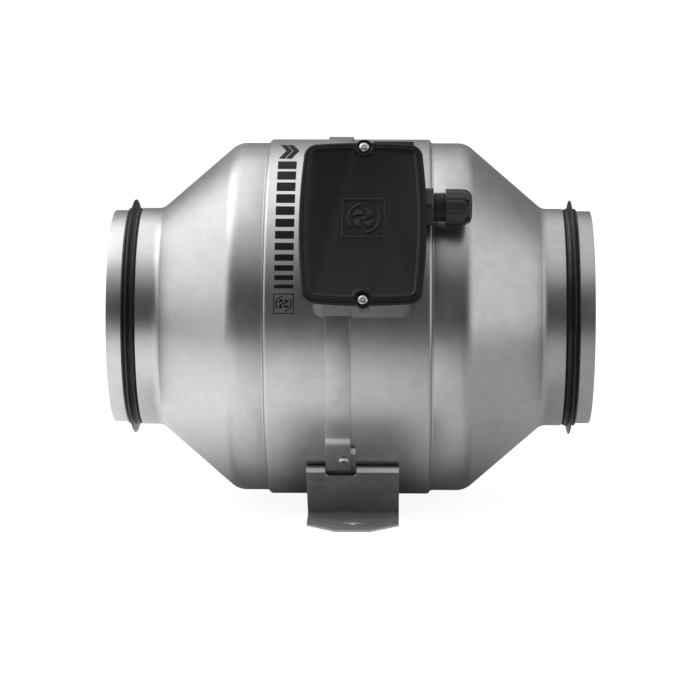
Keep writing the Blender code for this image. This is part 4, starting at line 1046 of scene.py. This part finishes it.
def carried_nodes():
    """The nodes shown as their CAD meshes, bright steel unless listed."""
    finishes = {
        "motor_flange": CAST_ALUMINIUM, "rotor_ring": CAST_ALUMINIUM, "stator_core": CORE_STEEL,
        "rotor_cup": CORE_STEEL, "winding_front": COPPER, "winding_rear": COPPER,
        "bearing_front": BRIGHT_STEEL, "bearing_rear": BRIGHT_STEEL, "motor_shaft": BRIGHT_STEEL,
        "motor_lead": RUBBER, "cable_grommet": SOFT_RUBBER, "gland_locknut": GLAND_PLASTIC,
        "terminal_block": GREY_PLASTIC, "capacitor": GREY_PLASTIC,
    }
    for name, obj in frame["nodes"].items():
        if obj.hide_render:
            continue
        obj.data.materials.clear()
        obj.data.materials.append(finishes.get(name, BRIGHT_STEEL))


# Light, floor and camera

LOBES = (                     # direction, full within and none past these degrees, strength
    ((0.0, 0.10, 1.0), 22, 66, 0.72),
    ((-0.85, 0.20, 0.45), 14, 47, 1.25),
    ((0.98, -0.05, 0.16), 12, 46, 0.95),
    ((0.0, 0.9, 0.35), 10, 60, 0.12))
DIM_ROOM = 0.06
DIFFUSE_ROOM = 0.45           # added for diffuse light only


def surroundings(scene):
    """A dim room with soft lights in it; the camera sees it white."""
    world = bpy.data.worlds.new("studio")
    scene.world = world
    world.use_nodes = True
    tree = world.node_tree
    direction = node(tree, "TexCoord", {}).outputs["Generated"]
    total = None
    for axis, inner, outer, strength in LOBES:
        towards = node(tree, "VectorMath", {0: direction, 1: Vector(axis).normalized()},
                       operation="DOT_PRODUCT").outputs["Value"]
        light = fade(tree, towards, math.cos(math.radians(outer)), math.cos(math.radians(inner)),
                     0.0, strength)
        total = compute(tree, "ADD", total, light) if total else light
    total = compute(tree, "ADD", total, DIM_ROOM)
    path = node(tree, "LightPath", {})
    soft = compute(tree, "MULTIPLY_ADD", path.outputs["Is Diffuse Ray"], DIFFUSE_ROOM, total)
    seen = node(tree, "Mix", {"Factor": path.outputs["Is Camera Ray"], "A": soft, "B": 1.0})
    tree.links.new(seen.outputs["Result"], tree.nodes["Background"].inputs["Color"])


def plane(name, size, height):
    """A level square, size metres from its middle to each side."""
    bm = bmesh.new()
    bmesh.ops.create_grid(bm, x_segments=1, y_segments=1, size=size)
    mesh = bpy.data.meshes.new(name)
    bm.to_mesh(mesh)
    bm.free()
    obj = bpy.data.objects.new(name, mesh)
    obj.location.z = height
    bpy.context.collection.objects.link(obj)
    return obj


def plain(name, albedo, glow):
    """A matt white that also shines a little."""
    mat = bpy.data.materials.new(name)
    mat.use_nodes = True
    shader = mat.node_tree.nodes["Principled BSDF"]
    shader.inputs["Base Color"].default_value = (albedo, albedo, albedo, 1)
    shader.inputs["Roughness"].default_value = 0.9
    shader.inputs["Specular IOR Level"].default_value = 0.0
    shader.inputs["Emission Color"].default_value = (1, 1, 1, 1)
    shader.inputs["Emission Strength"].default_value = glow
    return mat


def bounce_light():
    """Light coming back up from the table, glowing from a card: a painted shadow, dark under the fan and
    beside the foot; bright beside the fan, fading outwards, and stronger on the left.
    """
    mat = plain("bounce", 0.02, 1.0)
    tree = mat.node_tree
    place = node(tree, "TexCoord", {}).outputs["Object"]
    parts = node(tree, "SeparateXYZ", {0: place}).outputs
    side = compute(tree, "ABSOLUTE", compute(tree, "SUBTRACT", parts["Y"], axis_at.y))
    along = compute(tree, "ABSOLUTE", parts["X"])
    past_end = compute(tree, "SUBTRACT", along, 0.04)
    ramp = node(tree, "ValToRGB", {"Fac": compute(tree, "MAXIMUM", side, past_end)})
    # Painted shadow of the fan: the glow is dim near the fan's line and bright beside it.
    stops = ((0.02, 0.08), (0.055, 0.16), (0.10, 0.62), (0.16, 0.98), (0.42, 0.88), (0.95, 0.45))
    scale = ramp.color_ramp
    scale.elements[0].position, scale.elements[1].position = stops[0][0], stops[-1][0]
    for position, _ in stops[1:-1]:
        scale.elements.new(position)
    for element, (_, level) in zip(scale.elements, stops):
        element.color = (level, level, level, 1)
    # Painted shadow of the foot: the glow drops to 0.3 next to the foot.
    painted_foot_shadow = compute(tree, "MAXIMUM", fade(tree, along, 0.03, 0.065, 0.30, 1.0),
                          fade(tree, side, 0.13, 0.20, 0.0, 1.0))
    with_painted_shadows = compute(tree, "MULTIPLY", ramp.outputs["Color"], painted_foot_shadow)
    # Painted light: the glow is stronger to the left of the fan than to the right.
    level = compute(tree, "MULTIPLY", with_painted_shadows, fade(tree, parts["X"], -0.18, 0.20, 1.3, 0.5))
    tree.links.new(level, tree.nodes["Principled BSDF"].inputs["Emission Strength"])
    return mat


def studio():
    """The room, a floor for the camera, a card for the reflections and a panel overhead."""
    scene = bpy.context.scene
    surroundings(scene)
    ground = plane("floor", 40.0, cad_box[0].z - 0.0002)
    ground.visible_glossy = False
    ground.visible_diffuse = False
    ground.data.materials.append(plain("floor_white", 0.22, 0.92))
    card = plane("bounce_card", 1.2, cad_box[0].z - 0.0004)
    card.visible_camera = False
    card.data.materials.append(bounce_light())
    lamp = bpy.data.lights.new("overhead_panel", "AREA")
    lamp.shape = "RECTANGLE"
    lamp.size, lamp.size_y, lamp.energy = 1.1, 1.0, 2.6
    panel = bpy.data.objects.new("overhead_panel", lamp)
    panel.location = (-0.58, 0.2, 0.95)
    panel.visible_camera = False
    bpy.context.collection.objects.link(panel)
    scene.view_settings.view_transform = "Standard"


CAMERA_TILT = math.radians(10.0)
CAMERA_REACH = 1.917


def camera():
    """A long lens, ten degrees above the fan axis and a little to the right of its middle."""
    foot_point = axis_at + Vector((0.0353, 0, 0))
    back = Vector((0, -math.cos(CAMERA_TILT), math.sin(CAMERA_TILT)))
    up = Vector((0, math.sin(CAMERA_TILT), math.cos(CAMERA_TILT)))
    aim = foot_point - Vector((1, 0, 0)) * 0.0368 - up * 0.0233
    data = bpy.data.cameras.new("camera")
    data.lens = 141.9
    data.sensor_width = 36.0
    data.clip_end = 200.0
    eye = bpy.data.objects.new("camera", data)
    eye.location = foot_point + back * CAMERA_REACH
    eye.rotation_euler = (aim - eye.location).to_track_quat("-Z", "Y").to_euler()
    bpy.context.collection.objects.link(eye)
    bpy.context.scene.camera = eye


camera()
studio()
casing()
bellmouth()
impeller()
diffuser()
lid()
terminal_box()
gland()
foot()
strap()
marking()
carried_nodes()
